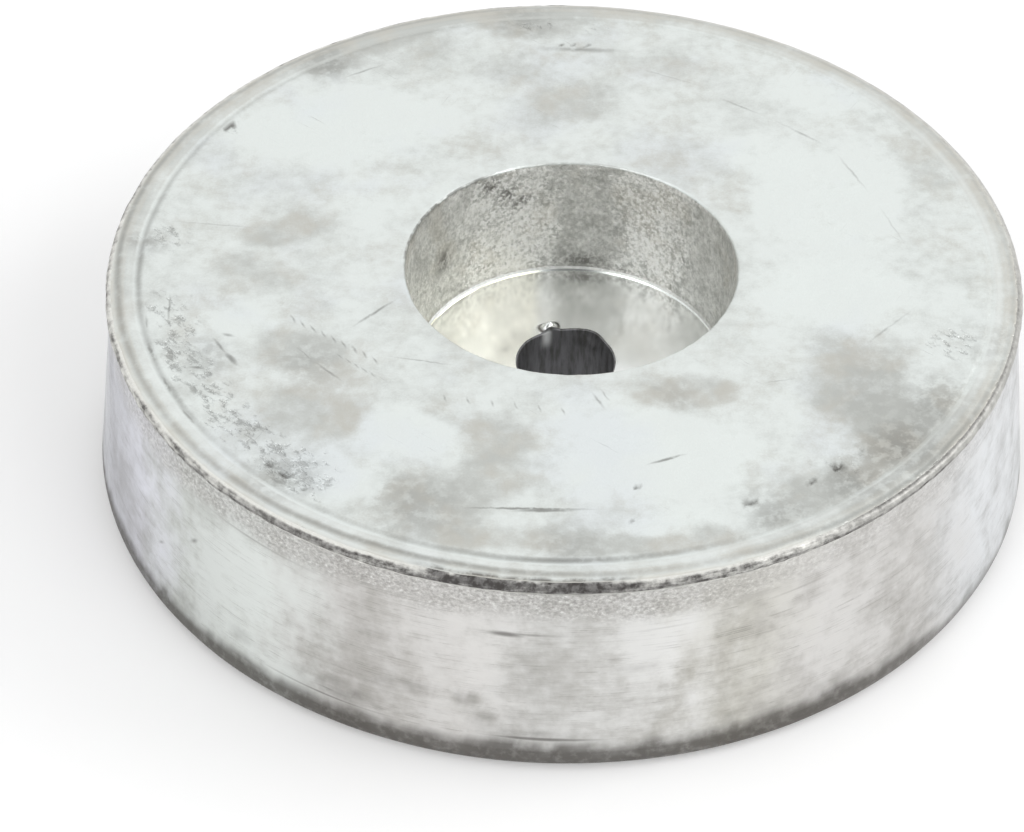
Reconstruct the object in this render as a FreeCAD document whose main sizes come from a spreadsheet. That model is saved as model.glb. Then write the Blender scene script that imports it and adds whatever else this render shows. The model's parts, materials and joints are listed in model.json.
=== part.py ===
# Sacrificial anode: a zinc disc cast round a steel insert, with a recess for the bolt's head.
# Millimetres. The origin is the centre of the mounting face, with +Z up through the recess.

import FreeCAD, Part
import Sketcher
import os

OUTPUT_FOLDER = "parts"
SAME_PLACE = 1e-5
ZERO_LINES = ("DistanceY", "DistanceX")
SKETCH_AXIS = {kind: -1 - place for place, kind in enumerate(ZERO_LINES)}
EDGE_PARTS = ("whole", "start", "end", "centre")
START = EDGE_PARTS.index("start")
END = EDGE_PARTS.index("end")
CENTRE = EDGE_PARTS.index("centre")
SKETCH_ORIGIN = (-1, START)

doc = FreeCAD.newDocument("sacrificial_anode")


# Driving dimensions

DRIVING_DIMENSIONS = (
    ("top_diameter", 100.5, "across the lip at the top face"),
    ("wall_top_diameter", 99.6, "across the cast wall at the lip, before the parting line is cut"),
    ("base_diameter", 104.6, "across the wall's foot, before its edge is rounded"),
    ("overall_height", 24.8, "mounting face to top face"),
    ("base_round", 1.6, "radius of the mounting face's edge"),
    ("lip_height", 1.1, "height of the parting flash that stands out at the top edge"),
    ("lip_round", 0.7, "radius of the lip's upper edge"),
    ("parting_line_depth", 0.35, "depth of the line below the lip"),
    ("parting_line_height", 0.5, "height of the line below the lip"),
    ("shoulder_width", 1.7, "outer band of the top face, which falls to the lip"),
    ("shoulder_fall", 0.2, "how far the outer band falls"),
    ("ring_inset", 3.4, "lip's edge to the middle of the fine ring in the top face"),
    ("ring_width", 1.1, "width of the fine ring"),
    ("ring_depth", 0.15, "depth of the fine ring"),
    ("recess_rim_diameter", 36.6, "across the recess at the top face"),
    ("recess_floor_diameter", 35.0, "across the recess at its floor, before the foot is bevelled"),
    ("recess_depth", 14.7, "top face to the recess's floor"),
    ("recess_rim_round", 0.25, "radius of the recess's rim"),
    ("foot_bevel", 0.22, "bevel that the core's end leaves at the foot of the recess's wall"),
    ("seat_facing", 0.15, "how deep the plate is faced off inside the recess, as the bolt's seat"),
    ("insert_diameter", 60.0, "across the steel plate"),
    ("insert_thickness", 3.0, "thickness of the steel plate"),
    ("core_across", 0.8, "how far the recess sits off the disc's centre, along X"),
    ("core_back", 0.3, "how far the recess sits off the disc's centre, along Y"),
    ("insert_across", 0.4, "how far the plate and its hole sit off the disc's centre, along X"),
    ("insert_back", 1.3, "how far the plate and its hole sit off the disc's centre, along Y"),
    ("bolt_hole_diameter", 11.0, "clearance hole for a 10 mm bolt"),
    ("hole_edge_break", 0.15, "broken edge of the hole in the plate and at the mounting face"),
)

sheet = doc.addObject("Spreadsheet::Sheet", "Sizes")
for row, (alias, length, meaning) in enumerate(DRIVING_DIMENSIONS, start=1):
    sheet.set(f"A{row}", alias)
    sheet.set(f"B{row}", str(length))
    sheet.set(f"C{row}", meaning)
    sheet.setAlias(f"B{row}", alias)
doc.recompute()


class Size:
    """A length worked out from the sheet: the expression that binds it, and its value now."""

    def __init__(self, expression, value):
        self.expression = expression
        self.value = value

    def __add__(self, other):
        return Size(f"({self.expression} + {other.expression})", self.value + other.value)

    def __sub__(self, other):
        return Size(f"({self.expression} - {other.expression})", self.value - other.value)


def length_of(alias):
    """A driving dimension as it stands in the sheet."""
    return Size(f"{sheet.Name}.{alias}", sheet.get(alias))


def half_of(alias):
    """Half a driving dimension, such as a radius from its diameter."""
    whole = length_of(alias)
    return Size(f"({whole.expression} / 2)", whole.value / 2)


ON_AXIS = Size("0", 0.0)

# Levels and radii that more than one feature uses

top_level = length_of("overall_height")
lip_radius = half_of("top_diameter")
shoulder_foot = top_level - length_of("shoulder_fall")
lip_foot = shoulder_foot - length_of("lip_height")
parting_line_foot = lip_foot - length_of("parting_line_height")
wall_top_radius = half_of("wall_top_diameter")
floor_level = top_level - length_of("recess_depth")
insert_foot = floor_level - length_of("insert_thickness")
recess_rim_radius = half_of("recess_rim_diameter")
recess_floor_radius = half_of("recess_floor_diameter")
seat_radius = recess_floor_radius - length_of("foot_bevel")
seat_level = floor_level - length_of("seat_facing")
hole_radius = half_of("bolt_hole_diameter")
core_centre = (length_of("core_across"), length_of("core_back"))
insert_centre = (length_of("insert_across"), length_of("insert_back"))
above_top = top_level + half_of("recess_depth")


# Sketch helpers

def origin_plane(body, role):
    """The body's own origin plane with this role."""
    for feature in body.Origin.OriginFeatures:
        if feature.Role == role:
            return feature
    raise ValueError(f"{body.Name} has no {role}")


def new_sketch(body, name, role, level=None, centre=None):
    """A sketch on one of the body's origin planes, at a level and round a centre where they are given.

    The XZ plane faces -Y, so there a shift along Y runs backwards along the sketch's own normal.
    """
    sketch = body.newObject("Sketcher::SketchObject", name)
    sketch.AttachmentSupport = (origin_plane(body, role), [""])
    sketch.MapMode = "FlatFace"
    if level is not None:
        sketch.setExpression("AttachmentOffset.Base.z", level.expression)
    if centre is not None:
        across, back = centre
        sketch.setExpression("AttachmentOffset.Base.x", across.expression)
        if role == "XZ_Plane":
            sketch.setExpression("AttachmentOffset.Base.z", (ON_AXIS - back).expression)
        else:
            sketch.setExpression("AttachmentOffset.Base.y", back.expression)
    return sketch


def bind_coordinate(sketch, kind, line, size):
    """Ties one coordinate of a line's start to the sheet, or puts it on the sketch's axis."""
    if size.value == 0:
        constraint = Sketcher.Constraint("PointOnObject", line, START, SKETCH_AXIS[kind])
        sketch.addConstraint(constraint)
        return
    constraint = Sketcher.Constraint(kind, *SKETCH_ORIGIN, line, START, size.value)
    number = sketch.addConstraint(constraint)
    sketch.setExpression(f"Constraints[{number}]", size.expression)


def closed_outline(sketch, corners):
    """A closed outline of straight edges, each corner tied to the sheet."""
    points = [FreeCAD.Vector(across.value, up.value, 0) for across, up in corners]
    count = len(points)
    for index in range(count):
        sketch.addGeometry(Part.LineSegment(points[index], points[(index + 1) % count]))
    for index, (across, up) in enumerate(corners):
        following = (index + 1) % count
        sketch.addConstraint(Sketcher.Constraint("Coincident", index, END, following, START))
        bind_coordinate(sketch, "DistanceX", index, across)
        bind_coordinate(sketch, "DistanceY", index, up)


def circle_outline(sketch, radius):
    """A circle round the sketch's origin, with its radius tied to the sheet."""
    circle = sketch.addGeometry(Part.Circle(FreeCAD.Vector(), FreeCAD.Vector(0, 0, 1), radius.value))
    sketch.addConstraint(Sketcher.Constraint("Coincident", circle, CENTRE, *SKETCH_ORIGIN))
    number = sketch.addConstraint(Sketcher.Constraint("Radius", circle, radius.value))
    sketch.setExpression(f"Constraints[{number}]", radius.expression)


# Feature helpers

def turned(body, kind, name, sketch):
    """A full turn of a sketch about its upright axis, added or cut away."""
    feature = body.newObject(kind, name)
    feature.Profile = sketch
    feature.ReferenceAxis = (sketch, ["V_Axis"])
    feature.Angle = 360
    doc.recompute()
    return feature


def cut_down(body, name, sketch, depth):
    """A straight cut from a level sketch downwards, which has to take material away."""
    before = body.Shape.Volume
    feature = body.newObject("PartDesign::Pocket", name)
    feature.Profile = sketch
    feature.setExpression("Length", depth.expression)
    doc.recompute()
    if body.Shape.Volume >= before:
        raise RuntimeError(f"{name} cut nothing")
    return feature


def round_edges(body, feature, radius, height):
    """Names of the feature's circular edges with this radius at this height."""
    names = []
    for number, edge in enumerate(feature.Shape.Edges, start=1):
        curve = edge.Curve
        if not isinstance(curve, Part.Circle):
            continue
        same_radius = abs(curve.Radius - radius.value) < SAME_PLACE
        same_height = abs(curve.Center.z - height.value) < SAME_PLACE
        if same_radius and same_height:
            names.append(f"Edge{number}")
    if not names:
        raise ValueError(f"{body.Name} has no round edge of {radius.value} at {height.value}")
    return names


def dress_edge(body, kind, name, base, radius, height, alias):
    """A fillet or a chamfer on the round edge at this radius and height."""
    size_property = {"PartDesign::Fillet": "Radius", "PartDesign::Chamfer": "Size"}[kind]
    feature = body.newObject(kind, name)
    feature.Base = (base, round_edges(body, base, radius, height))
    feature.setExpression(size_property, length_of(alias).expression)
    doc.recompute()
    return feature


# Zinc casting

def build_zinc_casting():
    """The disc, cast with draft, and cut by the core, the insert and the bolt's pin."""
    body = doc.addObject("PartDesign::Body", "zinc_casting")
    body.Label = "zinc_casting"

    section = new_sketch(body, "disc_section", "XZ_Plane")
    closed_outline(section, (
        (ON_AXIS, ON_AXIS),
        (half_of("base_diameter"), ON_AXIS),
        (wall_top_radius, parting_line_foot),
        (wall_top_radius - length_of("parting_line_depth"), lip_foot),
        (lip_radius, lip_foot),
        (lip_radius, shoulder_foot),
        (lip_radius - length_of("shoulder_width"), top_level),
        (ON_AXIS, top_level),
    ))
    disc = turned(body, "PartDesign::Revolution", "drafted_disc", section)
    disc = dress_edge(body, "PartDesign::Fillet", "base_edge", disc,
                      half_of("base_diameter"), ON_AXIS, "base_round")
    disc = dress_edge(body, "PartDesign::Fillet", "lip_edge", disc,
                      lip_radius, shoulder_foot, "lip_round")

    core = new_sketch(body, "core_section", "XZ_Plane", centre=core_centre)
    closed_outline(core, (
        (ON_AXIS, floor_level),
        (seat_radius, floor_level),
        (recess_floor_radius, floor_level + length_of("foot_bevel")),
        (recess_rim_radius, top_level),
        (recess_rim_radius, above_top),
        (ON_AXIS, above_top),
    ))
    disc = turned(body, "PartDesign::Groove", "recess", core)
    disc = dress_edge(body, "PartDesign::Fillet", "recess_rim", disc,
                      recess_rim_radius, top_level, "recess_rim_round")

    ring = new_sketch(body, "ring_section", "XZ_Plane")
    ring_radius = lip_radius - length_of("ring_inset")
    closed_outline(ring, (
        (ring_radius - half_of("ring_width"), top_level),
        (ring_radius, top_level - length_of("ring_depth")),
        (ring_radius + half_of("ring_width"), top_level),
        (ring_radius + half_of("ring_width"), above_top),
        (ring_radius - half_of("ring_width"), above_top),
    ))
    turned(body, "PartDesign::Groove", "fine_ring", ring)

    bed = new_sketch(body, "insert_outline", "XY_Plane", floor_level, insert_centre)
    circle_outline(bed, half_of("insert_diameter"))
    cut_down(body, "insert_bed", bed, length_of("insert_thickness"))

    pin = new_sketch(body, "pin_outline", "XY_Plane", insert_foot, insert_centre)
    circle_outline(pin, hole_radius)
    drilled = cut_down(body, "pin_hole", pin, insert_foot)
    dress_edge(body, "PartDesign::Chamfer", "mouth_of_pin_hole", drilled,
               hole_radius, ON_AXIS, "hole_edge_break")
    return body


# Steel insert

def build_steel_insert():
    """The round plate that the zinc is cast onto, punched for the bolt."""
    body = doc.addObject("PartDesign::Body", "steel_insert")
    body.Label = "steel_insert"

    blank = new_sketch(body, "plate_outline", "XY_Plane")
    circle_outline(blank, half_of("insert_diameter"))
    plate = body.newObject("PartDesign::Pad", "plate")
    plate.Profile = blank
    plate.setExpression("Length", length_of("insert_thickness").expression)
    doc.recompute()

    core_from_insert = [core - insert for core, insert in zip(core_centre, insert_centre)]
    seat = new_sketch(body, "seat_outline", "XY_Plane", length_of("insert_thickness"), core_from_insert)
    circle_outline(seat, seat_radius)
    cut_down(body, "bolt_seat", seat, length_of("seat_facing"))

    seat_height = seat_level - insert_foot
    punch = new_sketch(body, "punch_outline", "XY_Plane", seat_height)
    circle_outline(punch, hole_radius)
    punched = cut_down(body, "bolt_hole", punch, seat_height)
    dress_edge(body, "PartDesign::Chamfer", "mouth_of_bolt_hole", punched,
               hole_radius, seat_height, "hole_edge_break")

    across, back = insert_centre
    body.setExpression("Placement.Base.x", across.expression)
    body.setExpression("Placement.Base.y", back.expression)
    body.setExpression("Placement.Base.z", insert_foot.expression)
    return body


# Model, its tests and its files

def test_features():
    """Stops if any object of the document has failed."""
    for item in doc.Objects:
        if "Invalid" in item.State or "Error" in item.State:
            raise RuntimeError(f"{item.Name} failed: {item.State}")


def test_shape(piece):
    """Stops if a piece isn't one sound solid."""
    shape = piece.Shape
    if shape.isNull() or not shape.isValid() or len(shape.Solids) != 1:
        raise RuntimeError(f"{piece.Label} is not one sound solid")


pieces = (build_zinc_casting(), build_steel_insert())
doc.recompute()
test_features()
for piece in pieces:
    test_shape(piece)

os.makedirs(OUTPUT_FOLDER, exist_ok=True)
for piece in pieces:
    piece.Shape.exportStep(os.path.join(OUTPUT_FOLDER, f"{piece.Label}.step"))
    print(f"{piece.Label}: {piece.Shape.Volume:.0f} cubic millimetres")
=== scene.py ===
import json
import math
from collections import namedtuple

import bmesh
import bpy
from bpy.props import FloatProperty, FloatVectorProperty, IntProperty, PointerProperty
from mathutils import Matrix, Vector, noise


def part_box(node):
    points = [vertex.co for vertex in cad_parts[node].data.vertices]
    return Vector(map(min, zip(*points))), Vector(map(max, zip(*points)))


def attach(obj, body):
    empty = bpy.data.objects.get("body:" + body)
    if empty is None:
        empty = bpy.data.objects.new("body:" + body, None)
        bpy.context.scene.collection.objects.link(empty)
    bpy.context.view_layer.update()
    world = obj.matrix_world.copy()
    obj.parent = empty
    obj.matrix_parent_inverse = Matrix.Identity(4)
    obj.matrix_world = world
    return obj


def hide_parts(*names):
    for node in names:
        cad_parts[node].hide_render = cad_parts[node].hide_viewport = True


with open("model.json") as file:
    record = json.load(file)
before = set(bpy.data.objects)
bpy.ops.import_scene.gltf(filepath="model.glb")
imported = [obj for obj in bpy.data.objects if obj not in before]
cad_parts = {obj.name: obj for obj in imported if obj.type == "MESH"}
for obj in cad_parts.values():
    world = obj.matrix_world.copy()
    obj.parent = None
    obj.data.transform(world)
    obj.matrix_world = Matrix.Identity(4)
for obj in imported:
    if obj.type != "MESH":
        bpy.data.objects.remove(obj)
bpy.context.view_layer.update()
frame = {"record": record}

bl_info = {
    "name": "Zinc disc anode",
    "version": (1, 0, 0),
    "blender": (4, 5, 0),
    "location": "View3D > Sidebar > Anode",
    "description": "Dresses a cast zinc disc anode and its steel insert, and lights them for a studio view",
    "category": "Object",
}

MM = 0.001
FRONT, BACK = 270, 90  # directions of the disc's front and back, in degrees from +X

ZINC_LOW, ZINC_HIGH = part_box("zinc_casting")
STEEL_LOW, STEEL_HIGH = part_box("steel_insert")
INSERT_RADIUS = (STEEL_HIGH[0] - STEEL_LOW[0]) / 2
MOUNTS = {mount["name"]: mount for mount in frame["record"]["mounts"]}
HOLE_PLACE = MOUNTS["bolt_hole"]["pos_m"]
HOLE_CENTRE = HOLE_PLACE[:2]
HOLE_RADIUS = MOUNTS["bolt_hole"]["dims"]["r_mm"] * MM
SEAT_LEVEL = MOUNTS["bolt_seat"]["pos_m"][2]

# Marks that the casting carries. Places are in millimetres: on the top face from the disc's centre,
# and on the wall as an angle from the front in degrees with a height above the mounting face.

Patch = namedtuple("Patch", "across up width height turn tone")
Pit = namedtuple("Pit", "across up width height turn depth")
Spot = namedtuple("Spot", "across up reach strength")
Stroke = namedtuple("Stroke", "start end width strength")
TickRow = namedtuple("TickRow", "start step run count width strength")

TOP_PATCHES = (
    Patch(-21, 44, 22, 7, 25, -0.9),
    Patch(-27, 37, 8, 3, 20, -0.8),
    Patch(-19, 39, 13, 7, 15, -0.45),
    Patch(-5, 46, 15, 6, 0, -0.8),
    Patch(1, 31, 9, 8, 0, -0.65),
    Patch(-7, 36, 7, 8, 0, -0.3),
    Patch(12, 37, 12, 6, -20, -0.35),
    Patch(-31, 6, 11, 6, 10, -0.75),
    Patch(-35, -2, 10, 8, 0, -0.6),
    Patch(-27, -16, 12, 7, -30, -0.8),
    Patch(-26, -25, 11, 9, 0, -0.55),
    Patch(-13, -38.5, 12, 9, -20, -0.85),
    Patch(-6.2, -28, 7, 8, 0, -0.7),
    Patch(-6.5, -34, 9, 7, 0, -0.7),
    Patch(13.5, -20.5, 10, 6, 0, -0.85),
    Patch(32, -18, 11, 14, 0, -0.8),
    Patch(37, -26, 10, 14, -40, -1.2),
    Patch(28, -36, 16, 7, 30, -0.8),
    Patch(2, -43.5, 40, 4, 0, -0.7),
    Patch(22, 28, 12, 6, -25, -0.3),
    Patch(41, 20, 6, 14, 20, -0.4),
    Patch(-25, 25, 24, 15, 10, 0.75),
    Patch(-20, 12, 14, 10, 20, 0.4),
    Patch(30, 12, 16, 20, 0, 0.6),
    Patch(29, -4, 16, 12, 0, 0.75),
    Patch(10, -31, 22, 13, 0, 0.75),
    Patch(12, -40.4, 11, 5, 0, 0.6),
    Patch(22, 21, 11, 8, 0, 0.55),
    Patch(5, -24, 13, 7, 0, 0.5),
    Patch(-16, -28, 12, 8, 0, 0.7),
    Patch(-23.4, -35, 9, 7, 0, 0.75),
    Patch(-34, -11, 8, 6, 0, 0.5),
    Patch(29, 33, 12, 8, -30, 0.5),
    Patch(-48, 0, 5, 60, 0, -0.3),
)

# Radii on the top face: middle and reach of the two dark lines and of the pale stripe between them, and from
# where to where the beige lines of the outer band set in. The inner line is painted shade in the fine ring's
# inner flank, and the stripe a painted highlight on and beside its outer flank.

INNER_LINE, PALE_STRIPE, OUTER_LINE = (46.55, 0.6), (47.6, 0.8), (48.75, 0.65)
OUTER_BAND = (47.9, 48.6)

# The same lines and stripe by the angle from the front in degrees: how dark the inner and the outer line
# are, and how pale the stripe is; the inner line's darkness is painted shade and the stripe's paleness a
# painted highlight

BAND_LINES = (
    (-180, (0.00, 0.15, 0.10)),
    (-120, (0.15, 0.25, 0.25)),
    (-90, (0.40, 0.38, 0.25)),
    (-75, (0.25, 0.32, 0.30)),
    (-62, (0.35, 0.28, 0.40)),
    (-50, (0.12, 0.24, 0.40)),
    (-38, (0.20, 0.38, 0.35)),
    (-25, (0.14, 0.44, 0.40)),
    (-10, (0.35, 0.44, 0.45)),
    (0, (0.62, 0.40, 0.10)),
    (9, (0.42, 0.22, 0.40)),
    (20, (0.20, 0.16, 0.55)),
    (35, (0.14, 0.42, 0.60)),
    (50, (0.25, 0.46, 0.25)),
    (62, (0.04, 0.36, 0.50)),
    (80, (0.06, 0.20, 0.60)),
    (120, (0.02, 0.12, 0.50)),
    (180, (0.00, 0.15, 0.10)),
)

PIT_REACH = 4  # millimetres from a pit's middle that its oval and ragged edge stay within

TOP_PITS = (
    Pit(-46.3, 3.0, 0.8, 2.8, -10, 0.3),
    Pit(7.8, -35.4, 0.9, 0.8, 0, 0.2),
    Pit(19.5, -37.6, 2.0, 0.7, 10, 0.2),
    Pit(25.7, -34.1, 0.9, 0.9, 0, 0.25),
    Pit(28.8, -31.8, 1.8, 1.0, 35, 0.35),
    Pit(31.2, -29.4, 1.5, 0.7, 60, 0.25),
    Pit(7.2, -40.6, 0.8, 0.6, 0, 0.15),
    Pit(-28.3, -34.6, 1.6, 0.9, -40, 0.3),
    Pit(-30.0, -33.0, 1.1, 0.7, -20, 0.25),
    Pit(-26.6, -37.0, 0.9, 0.7, 10, 0.2),
    Pit(-0.8, 41.1, 0.6, 0.6, 0, 0.15),
    Pit(0.6, 41.2, 0.6, 0.6, 0, 0.15),
    Pit(2.3, 41.1, 0.6, 0.6, 0, 0.15),
    Pit(-38.6, 24.4, 0.9, 2.0, -35, 0.2),
)

# Spots of fine pitting on the top face

PITTED_SPOTS = (
    Spot(-28, -35, 8, 1.15),
    Spot(-36, -28, 6, 0.8),
    Spot(-42, -17, 7, 0.8),
    Spot(-43, -8, 6, 0.6),
    Spot(-44, 4, 5, 0.7),
    Spot(-4, 46.5, 5, 0.9),
    Spot(3, 46, 4, 0.6),
    Spot(42, -12, 5, 0.75),
    Spot(29, -32, 4, 0.6),
    Spot(-38, 24, 3, 0.5),
)

# Dull dark smears on the top face

SMEARS = (
    Spot(36, -29, 9, 0.6),
    Spot(31, -34, 7, 0.45),
    Spot(40, -22, 8, 0.38),
    Spot(33, -22, 8, 0.18),
    Spot(22, -39, 7, 0.35),
    Spot(46, -12, 6, 0.3),
    Spot(-15, -39, 8, 0.28),
    Spot(-28, -35, 6, 0.45),
    Spot(-27, -17, 6, 0.22),
    Spot(-38, -16, 5, 0.3),
    Spot(-28, 37, 5, 0.4),
    Spot(-6, 47, 6, 0.3),
    Spot(33, -17, 7, 0.12),
    Spot(-46, 3, 3, 0.5),
    Spot(1, -44, 6, 0.2),
    Spot(12, -21, 4, 0.2),
)

TOP_STROKES = (
    Stroke((-5.6, 40.7), (8.8, 40.3), 0.8, 0.55),
    Stroke((-11.5, -39.1), (5.0, -39.0), 0.28, 0.9),
    Stroke((-5.4, -39.4), (2.6, -39.1), 0.42, 1.0),
    Stroke((8.6, -32.2), (13.3, -30.2), 0.3, 0.9),
    Stroke((-23.2, -11.4), (-17.6, -5.6), 0.3, 0.7),
    Stroke((-42.8, -4.8), (-42.5, -11.8), 0.28, 0.6),
    Stroke((-38.0, -12.4), (-35.4, -16.4), 0.4, 0.7),
    Stroke((-36.4, -15.0), (-34.2, -18.0), 0.6, 0.8),
    Stroke((-36.9, -12.2), (-34.9, -13.0), 0.4, 0.6),
    Stroke((-40.2, -18.0), (-37.4, -18.1), 0.45, 0.7),
    Stroke((-44.9, -12.6), (-42.8, -18.6), 0.45, 0.75),
    Stroke((-43.2, -17.6), (-40.4, -23.7), 0.4, 0.7),
    Stroke((-40.8, -23.0), (-37.4, -28.2), 0.35, 0.6),
    Stroke((-45.3, -8.6), (-44.4, -13.4), 0.35, 0.5),
    Stroke((-20.0, -15.4), (-9.8, -17.2), 0.22, 0.5),
    Stroke((-35.0, -15.6), (-21.0, -16.6), 0.2, 0.4),
    Stroke((-27.6, -15.6), (-22.4, -20.6), 0.32, 0.6),
    Stroke((-29.4, -13.4), (-25.4, -17.8), 0.25, 0.5),
    Stroke((3.0, -20.4), (4.8, -24.0), 0.28, 0.55),
    Stroke((3.8, -19.8), (5.4, -22.8), 0.22, 0.45),
    Stroke((16.8, 32.0), (23.6, 27.6), 0.3, 0.45),
    Stroke((23.6, 27.6), (30.4, 22.0), 0.35, 0.5),
    Stroke((30.4, 22.0), (34.6, 13.2), 0.28, 0.45),
    Stroke((34.6, 13.2), (38.4, 3.0), 0.24, 0.35),
    Stroke((5.2, 38.4), (17.2, 33.0), 0.25, 0.35),
    Stroke((-47.0, 7.0), (-31.0, 5.6), 0.25, 0.35),
    Stroke((31.0, -14.0), (39.0, -5.0), 0.3, 0.45),
    Stroke((20.4, -19.2), (25.6, -17.8), 0.25, 0.4),
    Stroke((-28.0, 33.0), (-20.0, 37.8), 0.3, 0.5),
)

# A row of short ticks left by a tool that chattered, and the looser ones nearer the recess

TICK_ROWS = (
    TickRow((-29.6, -8.8), (1.15, -0.82), (0.9, -1.9), 9, 0.24, 0.55),
    TickRow((-12.6, -21.4), (2.5, -0.35), (0.6, -1.7), 6, 0.24, 0.5),
    TickRow((-24.4, -15.0), (0.9, -0.7), (1.4, -1.7), 5, 0.22, 0.45),
)

WALL_PATCHES = (
    Patch(-66, 8, 14, 12, 0, -0.9),
    Patch(-23, 9, 16, 10, 0, -0.6),
    Patch(-2, 12, 9, 14, 0, -0.45),
    Patch(22, 14, 9, 18, 0, -0.55),
    Patch(12, 6, 14, 9, 0, -0.4),
    Patch(47, 10, 9, 14, 0, -0.4),
    Patch(-38, 12, 16, 16, 0, 0.6),
    Patch(12, 17, 9, 6, 0, 0.9),
    Patch(33, 12, 8, 12, 0, 0.6),
    Patch(-9, 11, 8, 8, 0, 0.3),
    Patch(60, 11, 14, 12, 0, 0.5),
    Patch(-10, 8.4, 2.6, 1.6, 0, -0.9),
    Patch(-8.4, 6.0, 3.2, 2.0, 0, -0.9),
)

# Soiled places on the wall, each with how dark it is

WALL_SPOTS = (
    Patch(-10.5, 8.6, 3.4, 2.2, 0, 0.55),
    Patch(-8.2, 6.2, 4.5, 2.6, 0, 0.5),
    Patch(-19, 9.0, 13, 2.2, 0, 0.32),
    Patch(-27, 5.6, 13, 2.8, 0, 0.5),
    Patch(-40, 6.2, 5, 2.2, 0, 0.35),
    Patch(-2, 4.6, 22, 1.8, 0, 0.3),
    Patch(-52, 4.8, 14, 2.4, 0, 0.3),
    Patch(27, 4.6, 26, 2.2, 0, 0.3),
    Patch(-22, 14.6, 9, 1.2, 0, 0.2),
    Patch(9, 13.4, 6, 1.2, 0, 0.2),
    Patch(46, 4.4, 14, 2.6, 0, 0.35),
    Patch(24, 20.0, 9, 3.0, 0, 0.25),
)

WALL_STROKES = (
    Stroke((-12.5, 17.9), (4.5, 17.7), 0.35, 0.5),
    Stroke((-9.0, 17.8), (-3.0, 17.6), 0.5, 0.9),
    Stroke((4.0, 17.8), (21.0, 18.4), 0.25, 0.3),
    Stroke((-11.0, 4.3), (8.0, 4.1), 0.4, 0.9),
    Stroke((-42.0, 4.3), (-14.0, 4.1), 0.3, 0.6),
    Stroke((-24.0, 9.4), (-10.0, 9.3), 0.3, 0.4),
    Stroke((-31.0, 5.2), (-24.0, 5.0), 0.4, 0.5),
    Stroke((-56.0, 20.0), (-22.0, 19.4), 0.3, 0.45),
    Stroke((-50.0, 13.2), (-48.0, 14.6), 0.5, 0.6),
    Stroke((-57.0, 8.6), (-55.0, 9.8), 0.4, 0.5),
    Stroke((20.0, 18.6), (38.0, 19.2), 0.3, 0.35),
)

# Painted glints in the darkened stretch of the top's edge, by the angle from the front in degrees

EDGE_SPARKS = (
    Spot(-12.6, 0, 0.9, 0.9),
    Spot(-4.4, 0, 0.8, 0.8),
    Spot(-2.8, 0, 0.8, 0.9),
    Spot(6.6, 0, 0.7, 0.7),
    Spot(8.4, 0, 0.8, 0.9),
    Spot(10.4, 0, 0.9, 0.9),
)

# Dark pits high on the far left of the recess's wall, by the way round from the back and the height

MM_PER_DEGREE = 0.32  # round the recess's wall

RECESS_PITS = (
    Spot(-24 * MM_PER_DEGREE, 21.4, 2.6, 0.9),
    Spot(-19 * MM_PER_DEGREE, 20.2, 2.4, 0.9),
    Spot(-30 * MM_PER_DEGREE, 23.0, 2.2, 0.9),
    Spot(-54 * MM_PER_DEGREE, 16.5, 2.4, 0.9),
)

# Tints that follow one another round the wall: angle from the front in degrees, tint and lightness

BLUISH = (0.92, 0.93, 1.0)
SILVER = (0.96, 0.98, 1.0)
GREENISH = (0.96, 1.0, 0.97)
PLAIN = (1.0, 1.0, 0.98)
WARM = (1.0, 0.985, 0.96)
TAWNY = (1.0, 0.985, 0.915)

WALL_TINTS = (
    (-90, SILVER, 0.67),
    (-75, BLUISH, 0.61),
    (-62, BLUISH, 0.83),
    (-50, GREENISH, 0.73),
    (-38, GREENISH, 0.78),
    (-25, WARM, 0.65),
    (-12, WARM, 0.72),
    (-2, PLAIN, 0.69),
    (12, PLAIN, 0.77),
    (21, TAWNY, 0.65),
    (32, WARM, 0.69),
    (47, WARM, 0.64),
    (62, SILVER, 0.78),
    (90, SILVER, 0.67),
)


def smooth(value, low, high):
    """0 below low, 1 above high, and an even rise between them."""
    share = min(max((value - low) / (high - low), 0.0), 1.0)
    return share * share * (3 - 2 * share)


def hill(value, middle, reach):
    """1 at the middle, falling evenly to 0 at reach on each side."""
    return 1 - smooth(abs(value - middle), 0.0, reach)


def signed_angle(degrees):
    """The same angle, between -180 and 180 degrees."""
    return (degrees + 180) % 360 - 180


def turned_apart(angle, middle):
    """How far two angles are apart, in degrees, the short way round."""
    return abs(signed_angle(angle - middle))


def inside(mark, across, up):
    """How far inside a mark's oval a point lies: 1 at its middle, 0 at its edge, negative outside."""
    turn = math.radians(mark.turn)
    dx, dy = across - mark.across, up - mark.up
    along = (dx * math.cos(turn) + dy * math.sin(turn)) / (mark.width / 2)
    aside = (dy * math.cos(turn) - dx * math.sin(turn)) / (mark.height / 2)
    return 1 - math.hypot(along, aside)


def strongest(spots, across, up):
    """The strength of the strongest round spot at a point."""
    return max(spot.strength * hill(math.hypot(across - spot.across, up - spot.up), 0, spot.reach)
               for spot in spots)


def wobble(x, y, z, size, seed=0.0):
    """Smooth noise between -1 and 1 whose features are about size millimetres across."""
    return noise.noise(Vector((x / size + seed, y / size - seed, z / size + 2 * seed)))


def waves(x, y, z, *layers):
    """Layers of smooth noise added up, each given by its depth, its size and its seed."""
    return sum(depth * wobble(x, y, z, size, seed) for depth, size, seed in layers)


def sunken(depth, x, y, z, size, seed):
    """An uneven depth, from nothing to twice the one given."""
    return depth * (1 + wobble(x, y, z, size, seed))


# Sizes, colours and stage settings

def length(name, default, description):
    """A size that the panel shows as a distance."""
    return FloatProperty(name=name, description=description, default=default,
                         subtype="DISTANCE", unit="LENGTH")


def angle(name, default, description):
    """A turn that the panel shows in degrees."""
    return FloatProperty(name=name, description=description, default=default,
                         subtype="ANGLE", unit="ROTATION")


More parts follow.
